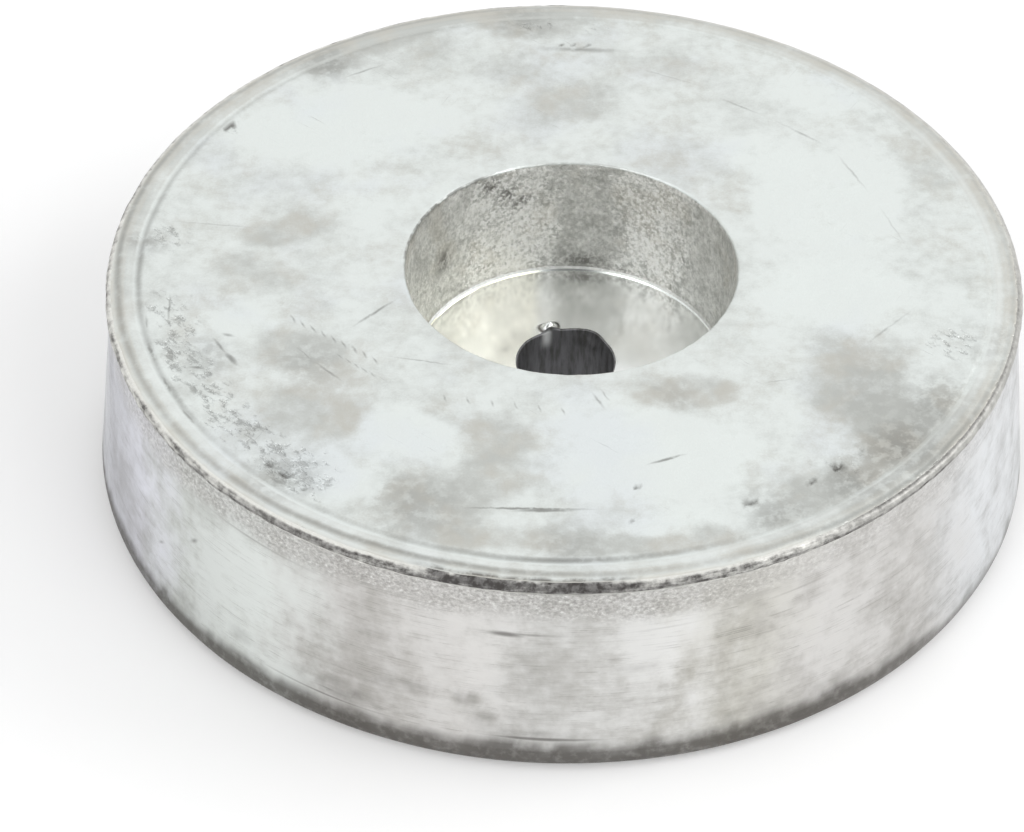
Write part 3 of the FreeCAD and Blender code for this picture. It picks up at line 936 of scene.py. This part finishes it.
class Shader:
    """The node tree of a material or a world, with short calls that add nodes and join them."""

    def __init__(self, owner):
        owner.use_nodes = True
        self.owner = owner
        self.tree = owner.node_tree
        self.tree.nodes.clear()

    def feed(self, socket, value):
        """Links a socket to another, or sets its own value."""
        if isinstance(value, bpy.types.NodeSocket):
            self.tree.links.new(value, socket)
        else:
            socket.default_value = value

    def node(self, kind, inputs=None, **options):
        """Adds a node, sets its options and feeds its inputs."""
        made = self.tree.nodes.new(f"ShaderNode{kind}")
        for name, value in options.items():
            setattr(made, name, value)
        for key, value in (inputs or {}).items():
            self.feed(made.inputs[key], value)
        return made

    def math(self, operation, first, second=0.0):
        """The result of a sum on one or two numbers."""
        return self.node("Math", {0: first, 1: second}, operation=operation).outputs[0]

    def plus(self, first, second):
        """Two numbers added."""
        return self.math("ADD", first, second)

    def less(self, first, second):
        """The first number less the second."""
        return self.math("SUBTRACT", first, second)

    def times(self, first, second):
        """Two numbers multiplied."""
        return self.math("MULTIPLY", first, second)

    def total(self, *parts):
        """Numbers added up, each multiplied by its weight where it has one."""
        result = None
        for part in parts:
            value = self.times(*part) if isinstance(part, tuple) else part
            result = value if result is None else self.plus(result, value)
        return result

    def most(self, *parts):
        """The greatest of several numbers, each multiplied by its weight where it has one."""
        result = None
        for part in parts:
            value = self.times(*part) if isinstance(part, tuple) else part
            result = value if result is None else self.math("MAXIMUM", result, value)
        return result

    def vector(self, operation, first, second=(0, 0, 0)):
        """The vector that comes of a sum on one or two vectors."""
        return self.node("VectorMath", {0: first, 1: second}, operation=operation).outputs["Vector"]

    def stretch(self, point, across, back, up):
        """The point with its coordinates multiplied."""
        return self.vector("MULTIPLY", point, (across, back, up))

    def length(self, point):
        """How far a point is from the origin."""
        return self.node("VectorMath", {0: point}, operation="LENGTH").outputs["Value"]

    def axes(self, point):
        """The three coordinates of a point."""
        return self.node("SeparateXYZ", {0: point}).outputs

    def joined(self, x, y=0.0):
        """A point from its coordinates."""
        return self.node("CombineXYZ", {"X": x, "Y": y}).outputs["Vector"]

    def noise(self, point, scale, detail=4.0, roughness=0.55):
        """Noise from 0 to 1 at a point."""
        inputs = {"Vector": point, "Scale": scale, "Detail": detail, "Roughness": roughness}
        return self.node("TexNoise", inputs).outputs["Fac"]

    def ramp(self, value, low, high, to_low=0.0, to_high=1.0):
        """An even rise from one number to another as the value goes from low to high."""
        inputs = {"Value": value, "From Min": low, "From Max": high, "To Min": to_low, "To Max": to_high}
        return self.node("MapRange", inputs, interpolation_type="SMOOTHSTEP").outputs["Result"]

    def near(self, value, middle, reach):
        """1 where the value is at the middle, falling evenly to 0 at reach on each side."""
        return self.ramp(self.math("ABSOLUTE", self.less(value, middle)), 0.0, reach, 1.0, 0.0)

    def mix(self, share, first, second, blend="MIX"):
        """A colour between two."""
        made = self.node("Mix", data_type="RGBA", blend_type=blend)
        self.feed(made.inputs[0], share)
        for socket, hue in zip((made.inputs[6], made.inputs[7]), (first, second)):
            self.feed(socket, hue if isinstance(hue, bpy.types.NodeSocket) else (*hue, 1.0))
        return made.outputs[2]

    def around(self, degrees, stops, reach):
        """The colour at an angle from the front, out of stops between -reach and reach degrees."""
        place = self.plus(self.math("DIVIDE", degrees, 2.0 * reach), 0.5)
        ramp = self.node("ValToRGB", {"Fac": place})
        elements = ramp.color_ramp.elements
        while len(elements) < len(stops):
            elements.new(0.5)
        for element, (stop, hue) in zip(elements, stops):
            element.position = stop / (2 * reach) + 0.5
            element.color = (*hue, 1)
        return ramp.outputs["Color"]

    def mark(self, name):
        """A number that the mesh keeps at its corners."""
        return self.node("Attribute", attribute_type="GEOMETRY", attribute_name=name).outputs["Fac"]

    def place(self):
        """The point on the object, in millimetres."""
        return self.vector("DIVIDE", self.node("TexCoord").outputs["Object"], (MM, MM, MM))

    def front_degrees(self, point):
        """The angle from the front in degrees, positive to the right."""
        across, back, _ = self.axes(point)
        turn = self.math("ARCTAN2", across, self.times(back, -1.0))
        return self.times(turn, 180 / math.pi)

    def along(self, point):
        """The point laid on a round wall of one radius, so that noise runs evenly along it."""
        unit = self.vector("NORMALIZE", self.stretch(point, 1, 1, 0))
        return self.vector("ADD", self.stretch(unit, 50, 50, 0), self.stretch(point, 0, 0, 1))

    def turned(self, point, degrees):
        """The point turned about the upright axis."""
        inputs = {"Vector": point, "Angle": math.radians(degrees)}
        return self.node("VectorRotate", inputs, rotation_type="Z_AXIS").outputs["Vector"]

    def stroke(self, point, stroke):
        """The stroke's strength on its middle line, falling to nothing at its sides and its ends."""
        start, end = Vector(stroke.start), Vector(stroke.end)
        run, middle = end - start, (start + end) / 2
        local = self.node("Mapping", {
            "Vector": point, "Location": (*middle, 0), "Rotation": (0, 0, math.atan2(run.y, run.x)),
            "Scale": (run.length * 0.54, stroke.width, 1),
        }, vector_type="TEXTURE").outputs[0]
        body = self.node("TexGradient", {"Vector": local}, gradient_type="SPHERICAL").outputs["Fac"]
        return self.times(body, stroke.strength)

    def strokes(self, point, strokes):
        """The strongest of many strokes at a point."""
        total = 0.0
        for stroke in strokes:
            total = self.math("MAXIMUM", self.stroke(point, stroke), total)
        return self.ramp(total, 0.05, 0.75)

    def scratches(self, point, turn, size, fineness, low, high):
        """Many long fine scratches that run one way, broken up along their length."""
        turned = self.turned(point, turn)
        lines = self.noise(self.stretch(turned, 1 / size, fineness, 1), 1.0, 3.0, 0.7)
        breaks = self.noise(self.stretch(turned, 0.06, 0.12, 1), 1.0, 2.0, 0.5)
        return self.times(self.ramp(lines, low, high), self.ramp(breaks, 0.52, 0.66))

    def finish(self, hue, roughness, metallic, height, bump):
        """The surface itself, with its bump, joined to the output."""
        raised = self.node("Bump", {"Height": height, "Distance": bump, "Strength": 1.0})
        surface = self.node("BsdfPrincipled", {
            "Base Color": hue, "Roughness": roughness, "Metallic": metallic,
            "Normal": raised.outputs["Normal"],
        })
        self.node("OutputMaterial", {"Surface": surface.outputs["BSDF"]})
        return self.owner


def new_shader(name):
    """An empty node tree for a new material."""
    return Shader(bpy.data.materials.new(name))


def tick_strokes():
    """The short ticks of each row, as strokes."""
    ticks = []
    for row in TICK_ROWS:
        for index in range(row.count):
            foot = Vector(row.start) + Vector(row.step) * index
            ticks.append(Stroke(tuple(foot), tuple(foot + Vector(row.run)), row.width, row.strength))
    return tuple(ticks)


def hand_drawn(shader, point, shake):
    """The point without its height, shaken a little so that strokes aren't ruled."""
    push = shader.node("TexNoise", {"Vector": point, "Scale": 0.9, "Detail": 2.0}).outputs["Color"]
    push = shader.stretch(shader.vector("SUBTRACT", push, (0.5, 0.5, 0.5)), shake, shake, 0)
    return shader.stretch(shader.vector("ADD", point, push), 1, 1, 0)


def dents(shader, point):
    """Dents, all slanted one way, where the mesh says that the surface is pitted."""
    pitting = shader.mark("pitting")
    grain = shader.noise(shader.stretch(shader.turned(point, 48), 0.5, 1, 1), 1.05, 3.0, 0.62)
    slanted = shader.ramp(shader.total(grain, (pitting, 0.16)), 0.58, 0.80)
    return shader.times(slanted, shader.ramp(pitting, 0.05, 0.7))


def outer_band(shader, finish, hue, reach, cloud):
    """The colour of the top with the beige lines of its outer band."""
    turning = shader.noise(shader.joined(reach), 1.5, 3.0, 0.7)
    lines = shader.times(shader.ramp(reach, *OUTER_BAND), shader.ramp(turning, 0.40, 0.60, 0.85, 0.15))
    lines = shader.times(lines, shader.ramp(cloud, 0.36, 0.62, 0.45, 1.0))
    return shader.mix(lines, hue, finish.band)


def band_lines_and_ring_shade(shader, point, reach, cloud):
    """The two dark lines in the outer band, the inner one painted shade in the fine ring's inner flank, and
    the pale stripe between them, a painted highlight.
    """
    degrees = shader.front_degrees(point)
    bands = shader.around(degrees, BAND_LINES, 180)
    inner_dark, outer_dark, stripe_pale = shader.node("SeparateColor", {0: bands}).outputs
    uneven = shader.total(reach, (shader.less(cloud, 0.5), 0.4))
    further = shader.plus(shader.ramp(degrees, 20, 40, 0.0, 0.4), shader.ramp(degrees, -100, -80, 0.4, 0.0))
    further = shader.less(further, shader.times(shader.near(degrees, -15, 35), 0.35))
    stripe = shader.times(shader.near(uneven, *PALE_STRIPE), stripe_pale)
    inner = shader.times(shader.near(uneven, *INNER_LINE), inner_dark)
    outer = shader.times(shader.near(shader.less(uneven, further), *OUTER_LINE), outer_dark)
    return shader.most(inner, outer), stripe


def top_zinc(finish):
    """Cast zinc with a pale bloom, blotched, scratched and pitted, with painted highlights and shade on the
    rim, the fine ring and the shoulder's edge.
    """
    shader = new_shader("zinc_top")
    point = shader.place()
    flat = shader.stretch(point, 1, 1, 0)
    reach = shader.length(flat)
    broad = shader.noise(point, 0.06, 3.0, 0.6)
    cloud = shader.noise(point, 0.22, 4.0, 0.6)
    mottle = shader.noise(point, 0.8, 3.0, 0.58)
    fine = shader.noise(point, 4.0, 1.0, 0.5)
    pitted = dents(shader, point)

    # The tone mark also carries painted highlights on the rim, the fine ring's outer side and the shoulder's
    # edge.
    shade = shader.total((shader.mark("tone"), -0.37), (broad, 0.35), (cloud, 0.75), (mottle, 0.42),
                         (shader.less(fine, 0.5), 0.16))
    greyness = shader.ramp(shade, 0.55, 1.22)
    pale = shader.mix(shader.ramp(broad, 0.48, 0.66, 0.0, 0.6), finish.pale, finish.cool)
    hue = shader.mix(greyness, pale, finish.grey)
    warmth = shader.ramp(shader.noise(flat, 0.12, 3.0, 0.6), 0.45, 0.62, 0.0, 0.55)
    hue = shader.mix(shader.times(warmth, greyness), hue, finish.beige)
    hue = outer_band(shader, finish, hue, reach, cloud)
    # Painted shade in the fine ring's inner line, and a painted highlight in the pale stripe.
    dark_lines, stripe = band_lines_and_ring_shade(shader, point, reach, cloud)
    hue = shader.mix(stripe, hue, finish.stripe)

    drawn = hand_drawn(shader, point, 0.35)
    marks = shader.times(shader.strokes(drawn, TOP_STROKES + tick_strokes()),
                         shader.ramp(mottle, 0.3, 0.5, 0.5, 1.0))
    hairs = shader.most(shader.scratches(drawn, 38, 9, 3.2, 0.64, 0.72),
                        shader.scratches(drawn, -62, 12, 3.6, 0.65, 0.73))
    # The grime mark holds dirt, and painted shade on the rim's back left.
    dirt = shader.times(shader.mark("grime"), shader.ramp(mottle, 0.36, 0.56, 0.35, 1.0))
    dark_lines = shader.times(dark_lines, shader.ramp(mottle, 0.3, 0.5, 0.7, 1.0))
    dark = shader.most((marks, 0.6), (hairs, 0.28), (pitted, 0.42), (dirt, 0.8), dark_lines)
    hue = shader.mix(dark, hue, finish.grime)

    roughness = shader.total(shader.ramp(cloud, 0.3, 0.7, 0.40, 0.54), (dark, 0.2))
    height = shader.less(shader.total((mottle, 0.9), (fine, 0.25)), shader.times(pitted, 2.4))
    return shader.finish(hue, roughness, metallic=0.82, height=height, bump=0.10 * MM)


def wall_zinc(finish):
    """The cast wall: fine lines that run round it, soft blotches, and a rough dirty strip at its top."""
    shader = new_shader("zinc_wall")
    point = shader.place()
    along = shader.along(point)
    degrees = shader.front_degrees(point)
    sheet = shader.joined(degrees, shader.axes(point)["Z"])
    coarse_lines = shader.noise(shader.stretch(along, 0.05, 0.05, 3.4), 1.0, 4.0, 0.7)
    fine_lines = shader.noise(shader.stretch(along, 0.12, 0.12, 11.0), 1.0, 3.0, 0.7)
    cloud = shader.noise(shader.stretch(along, 1, 1, 0.8), 0.19, 5.0, 0.62)
    smears = shader.noise(shader.stretch(along, 0.5, 0.5, 0.10), 1.0, 3.0, 0.6)
    streaks = shader.noise(shader.stretch(along, 0.42, 0.42, 1.0), 0.9, 4.0, 0.62)
    speckle = shader.noise(shader.stretch(along, 0.85, 0.85, 1.2), 2.5, 3.0, 0.7)
    mottle = shader.noise(point, 0.85, 3.0, 0.6)
    pitting = shader.mark("pitting")

    shade = shader.total((shader.mark("tone"), -0.22), (cloud, 0.85), (coarse_lines, 0.15), (smears, 0.10),
                         (streaks, 0.50), (mottle, 0.25))
    greyness = shader.ramp(shade, 0.74, 1.30)
    shaken = shader.total(degrees, (shader.less(cloud, 0.5), 20.0))
    stops = [(stop, [lightness * part for part in tint]) for stop, tint, lightness in WALL_TINTS]
    tint = shader.around(shaken, stops, 90)
    hue = shader.mix(greyness, tint, shader.mix(1.0, tint, finish.wall_stain, "MULTIPLY"))
    hue = shader.mix(shader.times(pitting, 0.6), hue, finish.strip)

    rough = shader.times(pitting, shader.ramp(speckle, 0.34, 0.60, 0.8, 0.0))
    sparkle = shader.times(pitting, shader.ramp(speckle, 0.58, 0.68))
    marks = shader.strokes(sheet, WALL_STROKES)
    dark_lines = shader.times(shader.ramp(fine_lines, 0.54, 0.66), shader.ramp(streaks, 0.42, 0.60, 0.1, 0.8))
    # The grime mark holds dirt, and painted shade in the band at the wall's foot.
    dirt = shader.times(shader.mark("grime"), shader.ramp(mottle, 0.3, 0.55, 0.85, 1.0))
    dark = shader.most((marks, 0.7), (dirt, 0.88), (dark_lines, 0.42), (rough, 0.5))
    hue = shader.mix(dark, hue, finish.grime)
    hue = shader.mix(shader.times(sparkle, 0.55), hue, finish.bright)

    roughness = shader.total(shader.ramp(cloud, 0.3, 0.7, 0.28, 0.42), (dark, 0.25))
    height = shader.total((coarse_lines, 0.42), (fine_lines, 0.30), (shader.times(pitting, speckle), 1.3))
    return shader.finish(hue, roughness, metallic=0.85, height=height, bump=0.10 * MM)


def base_zinc(finish):
    """The flat mounting face as it left the mould: dull, blotched and lightly pocked."""
    shader = new_shader("zinc_base")
    point = shader.place()
    cloud = shader.noise(point, 0.12, 5.0, 0.62)
    mottle = shader.noise(point, 0.9, 4.0, 0.62)
    pocks = shader.ramp(shader.noise(point, 0.55, 3.0, 0.6), 0.66, 0.74)
    shade = shader.total((cloud, 0.7), (mottle, 0.3))
    hue = shader.mix(shader.ramp(shade, 0.35, 0.65), finish.grey, finish.pale)
    hue = shader.mix(shader.times(pocks, 0.45), hue, finish.grime)
    height = shader.less(mottle, shader.times(pocks, 0.8))
    roughness = shader.ramp(cloud, 0.3, 0.7, 0.42, 0.58)
    return shader.finish(hue, roughness, metallic=0.8, height=height, bump=0.10 * MM)


def recess_zinc(finish):
    """The recess's wall, rough from the mould and speckled with greenish and brownish dirt, with painted
    glints in its bright stretches and painted shade at its foot.
    """
    shader = new_shader("zinc_recess")
    point = shader.place()
    speckle = shader.noise(point, 1.35, 5.0, 0.74)
    grain = shader.noise(point, 2.3, 3.0, 0.65)
    cloud = shader.noise(point, 0.16, 3.0, 0.6)
    blotches = shader.noise(point, 0.42, 3.0, 0.6)
    tone = shader.mark("tone")
    mixed = shader.times(shader.less(shader.total((speckle, 1.4), (grain, 1.1)), 1.25),
                         shader.ramp(tone, -0.7, 0.9, 0.45, 0.8))
    shade = shader.total((tone, 0.12), shader.plus(mixed, 1.24), (shader.less(blotches, 0.5), 0.5))
    lightness = shader.ramp(shade, 0.88, 1.62)
    hue = shader.mix(lightness, finish.recess_dark, finish.recess_light)
    hue = shader.mix(shader.ramp(cloud, 0.5, 0.66, 0.0, 0.22), hue, finish.rust)
    # The grime mark holds dirt in the pits, and painted shade at the foot and in the crevice.
    dirt = shader.times(shader.mark("grime"), shader.ramp(speckle, 0.40, 0.60, 0.85, 0.3))
    hue = shader.mix(dirt, hue, finish.grime)
    # Painted glints in the bright stretches.
    glints = shader.times(shader.ramp(grain, 0.49, 0.60), shader.ramp(tone, -0.4, 0.9))
    hue = shader.mix(shader.times(glints, 0.9), hue, finish.recess_glint)
    roughness = shader.ramp(lightness, 0.0, 1.0, 0.48, 0.30)
    height = shader.total(speckle, (grain, 0.6))
    return shader.finish(hue, roughness, metallic=0.85, height=height, bump=0.25 * MM)


def lip_zinc(finish):
    """The lip's torn edge: dark dirt and painted shade in strips that run round it, broken by bright spots
    that are rubbed wear and painted highlight.
    """
    shader = new_shader("zinc_lip")
    point = shader.place()
    tears = shader.noise(shader.stretch(shader.along(point), 0.4, 0.4, 2.2), 1.0, 4.0, 0.65)
    spots = shader.noise(point, 1.1, 3.0, 0.65)
    grain = shader.noise(point, 4.0, 2.0, 0.6)
    uneven = shader.less(shader.total((tears, 0.6), (spots, 0.4)), 0.5)
    uneven = shader.times(uneven, shader.ramp(shader.mark("pitting"), 0.0, 1.0, 1.0, 0.0))
    # Low tone gives dirt and painted shade, high tone rubbed wear and a painted highlight.
    wear_and_sheen = shader.total(uneven, 0.5, (shader.mark("tone"), 0.19))
    rubbed = shader.ramp(wear_and_sheen, 0.20, 0.68)
    filth_and_shade = shader.mix(shader.ramp(spots, 0.36, 0.62), finish.lip_dirt_and_shade, finish.lip_dull_dirt_and_shade)
    hue = shader.mix(rubbed, filth_and_shade, finish.lip_sheen_and_rub)
    hue = shader.mix(shader.times(shader.ramp(grain, 0.3, 0.7, 0.3, 0.0), rubbed), hue, finish.beige)
    roughness = shader.ramp(rubbed, 0.0, 1.0, 0.55, 0.30)
    height = shader.total(tears, (grain, 0.2))
    return shader.finish(hue, roughness, metallic=0.8, height=height, bump=0.10 * MM)


def bright_zinc(finish):
    """The small bevel at the recess's foot, rubbed bright by the core."""
    shader = new_shader("zinc_bright")
    grain = shader.noise(shader.place(), 2.4, 3.0, 0.6)
    hue = shader.mix(shader.ramp(grain, 0.35, 0.7, 0.85, 0.35), finish.bright, finish.grey)
    roughness = shader.ramp(grain, 0.3, 0.7, 0.38, 0.5)
    return shader.finish(hue, roughness, metallic=0.85, height=grain, bump=0.05 * MM)


def bore_metal(finish):
    """Dark metal inside the bolt hole, its darkness partly painted shade, with a painted reflection as a
    light streak.
    """
    shader = new_shader("bore_metal")
    point = shader.place()
    lit = shader.mark("tone")
    streaks = shader.noise(shader.stretch(point, 1.6, 1.6, 0.25), 1.0, 4.0, 0.6)
    grain = shader.noise(point, 3.0, 3.0, 0.6)
    # Dark colours partly painted shade; the lit streak a painted reflection.
    hue = shader.mix(shader.ramp(streaks, 0.35, 0.7), finish.bore, finish.bore_dark)
    hue = shader.mix(lit, hue, finish.bore_light)
    metallic = shader.ramp(lit, 0.0, 0.6, 0.7, 0.1)
    roughness = shader.ramp(grain, 0.3, 0.7, 0.34, 0.5)
    return shader.finish(hue, roughness, metallic, height=streaks, bump=0.08 * MM)


def seat_steel(finish):
    """The insert's bright floor, faced smooth, with faint rings and specks, and a painted darker reflection
    across its middle.
    """
    shader = new_shader("seat_steel")
    point = shader.place()
    centre = tuple(value / MM for value in HOLE_PLACE)
    reach = shader.length(shader.stretch(shader.vector("SUBTRACT", point, centre), 1, 1, 0))
    rings = shader.noise(shader.joined(reach), 2.6, 5.0, 0.75)
    cloud = shader.noise(point, 0.22, 5.0, 0.6)
    specks = shader.ramp(shader.noise(point, 1.6, 3.0, 0.7), 0.68, 0.76)
    grain = shader.noise(point, 3.5, 3.0, 0.6)
    across = shader.axes(point)["X"]
    hue = shader.mix(shader.ramp(across, -4.0, -2.0), finish.seat_left, finish.seat_right)
    # Painted darker reflection across the middle of the floor.
    hue = shader.mix(shader.times(shader.near(across, 1.5, 5.5), 0.5), hue, finish.seat_dark_reflection)
    hue = shader.mix(shader.ramp(cloud, 0.4, 0.7, 0.0, 0.2), hue, finish.seat_cloud)
    dark = shader.most((specks, 0.3), shader.mark("grime"))
    hue = shader.mix(dark, hue, finish.grime)
    roughness = shader.total(shader.ramp(cloud, 0.3, 0.7, 0.10, 0.20), (dark, 0.2))
    height = shader.total((rings, 0.35), (grain, 0.08))
    return shader.finish(hue, roughness, metallic=0.95, height=height, bump=0.015 * MM)


def floor_white(stage):
    """A plain pale floor that keeps the shadow and shows white to the camera and in reflections."""
    shader = new_shader("studio_floor")
    grain = shader.noise(shader.place(), 0.02, 2.0, 0.5)
    tint = shader.mix(shader.ramp(grain, 0.3, 0.7, 0.0, 0.03), stage.floor, stage.floor_worn)
    diffuse = shader.node("BsdfDiffuse", {"Color": tint})
    rays = shader.node("LightPath").outputs
    seen = shader.most(rays["Is Camera Ray"], rays["Is Glossy Ray"], rays["Is Transmission Ray"])
    glow = shader.node("Emission", {"Color": WHITE, "Strength": shader.times(seen, 0.20)})
    both = shader.node("AddShader", {0: diffuse.outputs[0], 1: glow.outputs[0]})
    shader.node("OutputMaterial", {"Surface": both.outputs[0]})
    return shader.owner


# Stage

WHITE = (1, 1, 1, 1)
FLOOR_REACH, FLOOR_STEPS, FLOOR_GAP = 3.0, 12, 0.02 * MM
LAMP_PLACE, LAMP_SIZE = Vector((0.80, 0.12, 0.60)), 0.5
SENSOR_WIDTH = 36.0  # millimetres
NEAREST_SEEN = 0.01


def add_floor(stage):
    """A wide floor at the level of the mounting face."""
    bm = bmesh.new()
    bmesh.ops.create_grid(bm, x_segments=FLOOR_STEPS, y_segments=FLOOR_STEPS, size=FLOOR_REACH)
    mesh = bpy.data.meshes.new("studio_floor")
    bm.to_mesh(mesh)
    bm.free()
    mesh.materials.append(floor_white(stage))
    floor = bpy.data.objects.new("studio_floor", mesh)
    floor.location = (0, 0, -FLOOR_GAP)
    bpy.context.scene.collection.objects.link(floor)


def add_sky(strength):
    """Even light from all round, dim in front, bright at both sides of that, and white to the camera."""
    world = bpy.data.worlds.new("studio_sky")
    bpy.context.scene.world = world
    shader = Shader(world)
    across, back, up = shader.axes(shader.node("TexCoord").outputs["Generated"])
    aside = shader.math("ABSOLUTE", across)
    dim = shader.times(shader.ramp(aside, 0.10, 0.42, 1.0, 0.0), shader.ramp(back, -0.5, -0.1, 1.0, 0.0))
    dim = shader.times(dim, shader.ramp(up, 0.0, 0.2))
    sides = shader.times(shader.ramp(aside, 0.28, 0.46), shader.ramp(back, -0.6, -0.15, 1.0, 0.0))
    sides = shader.times(sides, shader.ramp(up, 0.22, 0.42))
    sides = shader.times(sides, shader.ramp(up, 0.78, 0.95, 1.0, 0.0))
    level = shader.less(strength, shader.times(dim, strength * 0.75))
    level = shader.plus(level, shader.times(sides, strength * 2.0))
    light = shader.node("Background", {"Color": WHITE, "Strength": level})
    white = shader.node("Background", {"Color": WHITE, "Strength": 1.0})
    rays = shader.node("LightPath").outputs
    shown = shader.node("MixShader", {0: rays["Is Camera Ray"], 1: light.outputs[0], 2: white.outputs[0]})
    shader.node("OutputWorld", {"Surface": shown.outputs[0]})


def add_softbox(name, place, target, size, power):
    """A soft square lamp that faces its target."""
    lamp = bpy.data.lights.new(name, "AREA")
    lamp.shape = "RECTANGLE"
    lamp.size, lamp.size_y = size, size
    lamp.energy = power
    stand = bpy.data.objects.new(name, lamp)
    stand.location = place
    stand.rotation_euler = (target - place).to_track_quat("-Z", "Y").to_euler()
    bpy.context.scene.collection.objects.link(stand)


def add_camera(stage, top_level):
    """The camera at the photo's angle, a little rolled."""
    tilt = stage.elevation
    top_middle = Vector((0, 0, top_level))
    eye = top_middle + stage.distance * Vector((0, -math.cos(tilt), math.sin(tilt)))
    aim = Vector((stage.aim_across, stage.aim_up * math.sin(tilt), stage.aim_up * math.cos(tilt)))
    forward = (top_middle + aim - eye).normalized()
    right = forward.cross(Vector((0, 0, 1))).normalized()
    upright = right.cross(forward)
    rolled_right = math.cos(stage.roll) * right + math.sin(stage.roll) * upright
    rolled_up = math.cos(stage.roll) * upright - math.sin(stage.roll) * right
    data = bpy.data.cameras.new("studio_camera")
    data.sensor_width = SENSOR_WIDTH
    data.lens = stage.lens
    data.clip_start = NEAREST_SEEN
    camera = bpy.data.objects.new("studio_camera", data)
    turn = Matrix((rolled_right, rolled_up, -forward)).transposed().to_4x4()
    camera.matrix_world = Matrix.Translation(eye) @ turn
    bpy.context.scene.collection.objects.link(camera)
    bpy.context.scene.camera = camera


# Operators, panel and registration

class ANODE_OT_zinc_casting(bpy.types.Operator):
    """Build the zinc casting with its lip, marks, pits and recess"""

    bl_idname = "anode.zinc_casting"
    bl_label = "Zinc casting"

    def execute(self, context):
        sizes, finish, _ = settings()
        finishes = [make(finish) for make in (top_zinc, wall_zinc, recess_zinc, lip_zinc,
                                              bright_zinc, bore_metal, base_zinc)]
        finish_of_zone = {
            "top": 0, "ring_outside": 0, "ring_inside": 0, "shoulder": 0, "rim": 0,
            "edge": 1, "wall": 1, "rough": 1, "recess": 2, "crevice": 2,
            "line": 3, "lip": 3, "brow": 3, "bevel": 4, "bore": 5, "bed": 6, "base": 6,
        }
        piece = turn_surface("zinc_casting_dressed", casting_rings(sizes), sizes.steps_round,
                             CASTING_RELIEFS, finish_of_zone, finishes)
        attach(piece, "root")
        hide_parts("zinc_casting")
        return {"FINISHED"}


class ANODE_OT_steel_insert(bpy.types.Operator):
    """Build the steel insert with its bright seat, dark bore and burred edge"""

    bl_idname = "anode.steel_insert"
    bl_label = "Steel insert"

    def execute(self, context):
        sizes, finish, _ = settings()
        finishes = [seat_steel(finish), bore_metal(finish)]
        finish_of_zone = {"seat": 0, "hidden": 0, "mouth": 1, "bore": 1}
        piece = turn_surface("steel_insert_dressed", insert_rings(sizes), sizes.insert_steps_round,
                             INSERT_RELIEFS, finish_of_zone, finishes)
        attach(piece, "root")
        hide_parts("steel_insert")
        return {"FINISHED"}


class ANODE_OT_stage(bpy.types.Operator):
    """Set up the floor, the light and the camera"""

    bl_idname = "anode.stage"
    bl_label = "Stage"

    def execute(self, context):
        sizes, _, stage = settings()
        add_floor(stage)
        add_sky(stage.sky)
        add_softbox("key_lamp", LAMP_PLACE, Vector((0, 0, sizes.top_level / 2)), LAMP_SIZE, stage.lamp_power)
        add_camera(stage, sizes.top_level)
        context.scene.view_settings.view_transform = "Standard"
        return {"FINISHED"}


class ANODE_PT_panel(bpy.types.Panel):
    """The anode's sizes, colours and steps in the sidebar"""

    bl_idname = "ANODE_PT_panel"
    bl_label = "Zinc disc anode"
    bl_space_type = "VIEW_3D"
    bl_region_type = "UI"
    bl_category = "Anode"

    def draw(self, context):
        for group in settings():
            box = self.layout.box()
            for name in group.__annotations__:
                box.prop(group, name)
        for step in STEPS:
            self.layout.operator(step.bl_idname)


STEPS = (ANODE_OT_zinc_casting, ANODE_OT_steel_insert, ANODE_OT_stage)
GROUPS = {"anode_sizes": AnodeSizes, "anode_finish": AnodeFinish, "anode_stage": AnodeStage}


def register():
    """Adds the groups, the operators and the panel."""
    for name, group in GROUPS.items():
        bpy.utils.register_class(group)
        setattr(bpy.types.Scene, name, PointerProperty(type=group))
    for part in (*STEPS, ANODE_PT_panel):
        bpy.utils.register_class(part)


def unregister():
    """Takes them away again."""
    for part in (ANODE_PT_panel, *STEPS):
        bpy.utils.unregister_class(part)
    for name, group in GROUPS.items():
        delattr(bpy.types.Scene, name)
        bpy.utils.unregister_class(group)


def main():
    """Builds everything."""
    register()
    bpy.ops.anode.zinc_casting()
    bpy.ops.anode.steel_insert()
    bpy.ops.anode.stage()


if __name__ == "__main__":
    main()
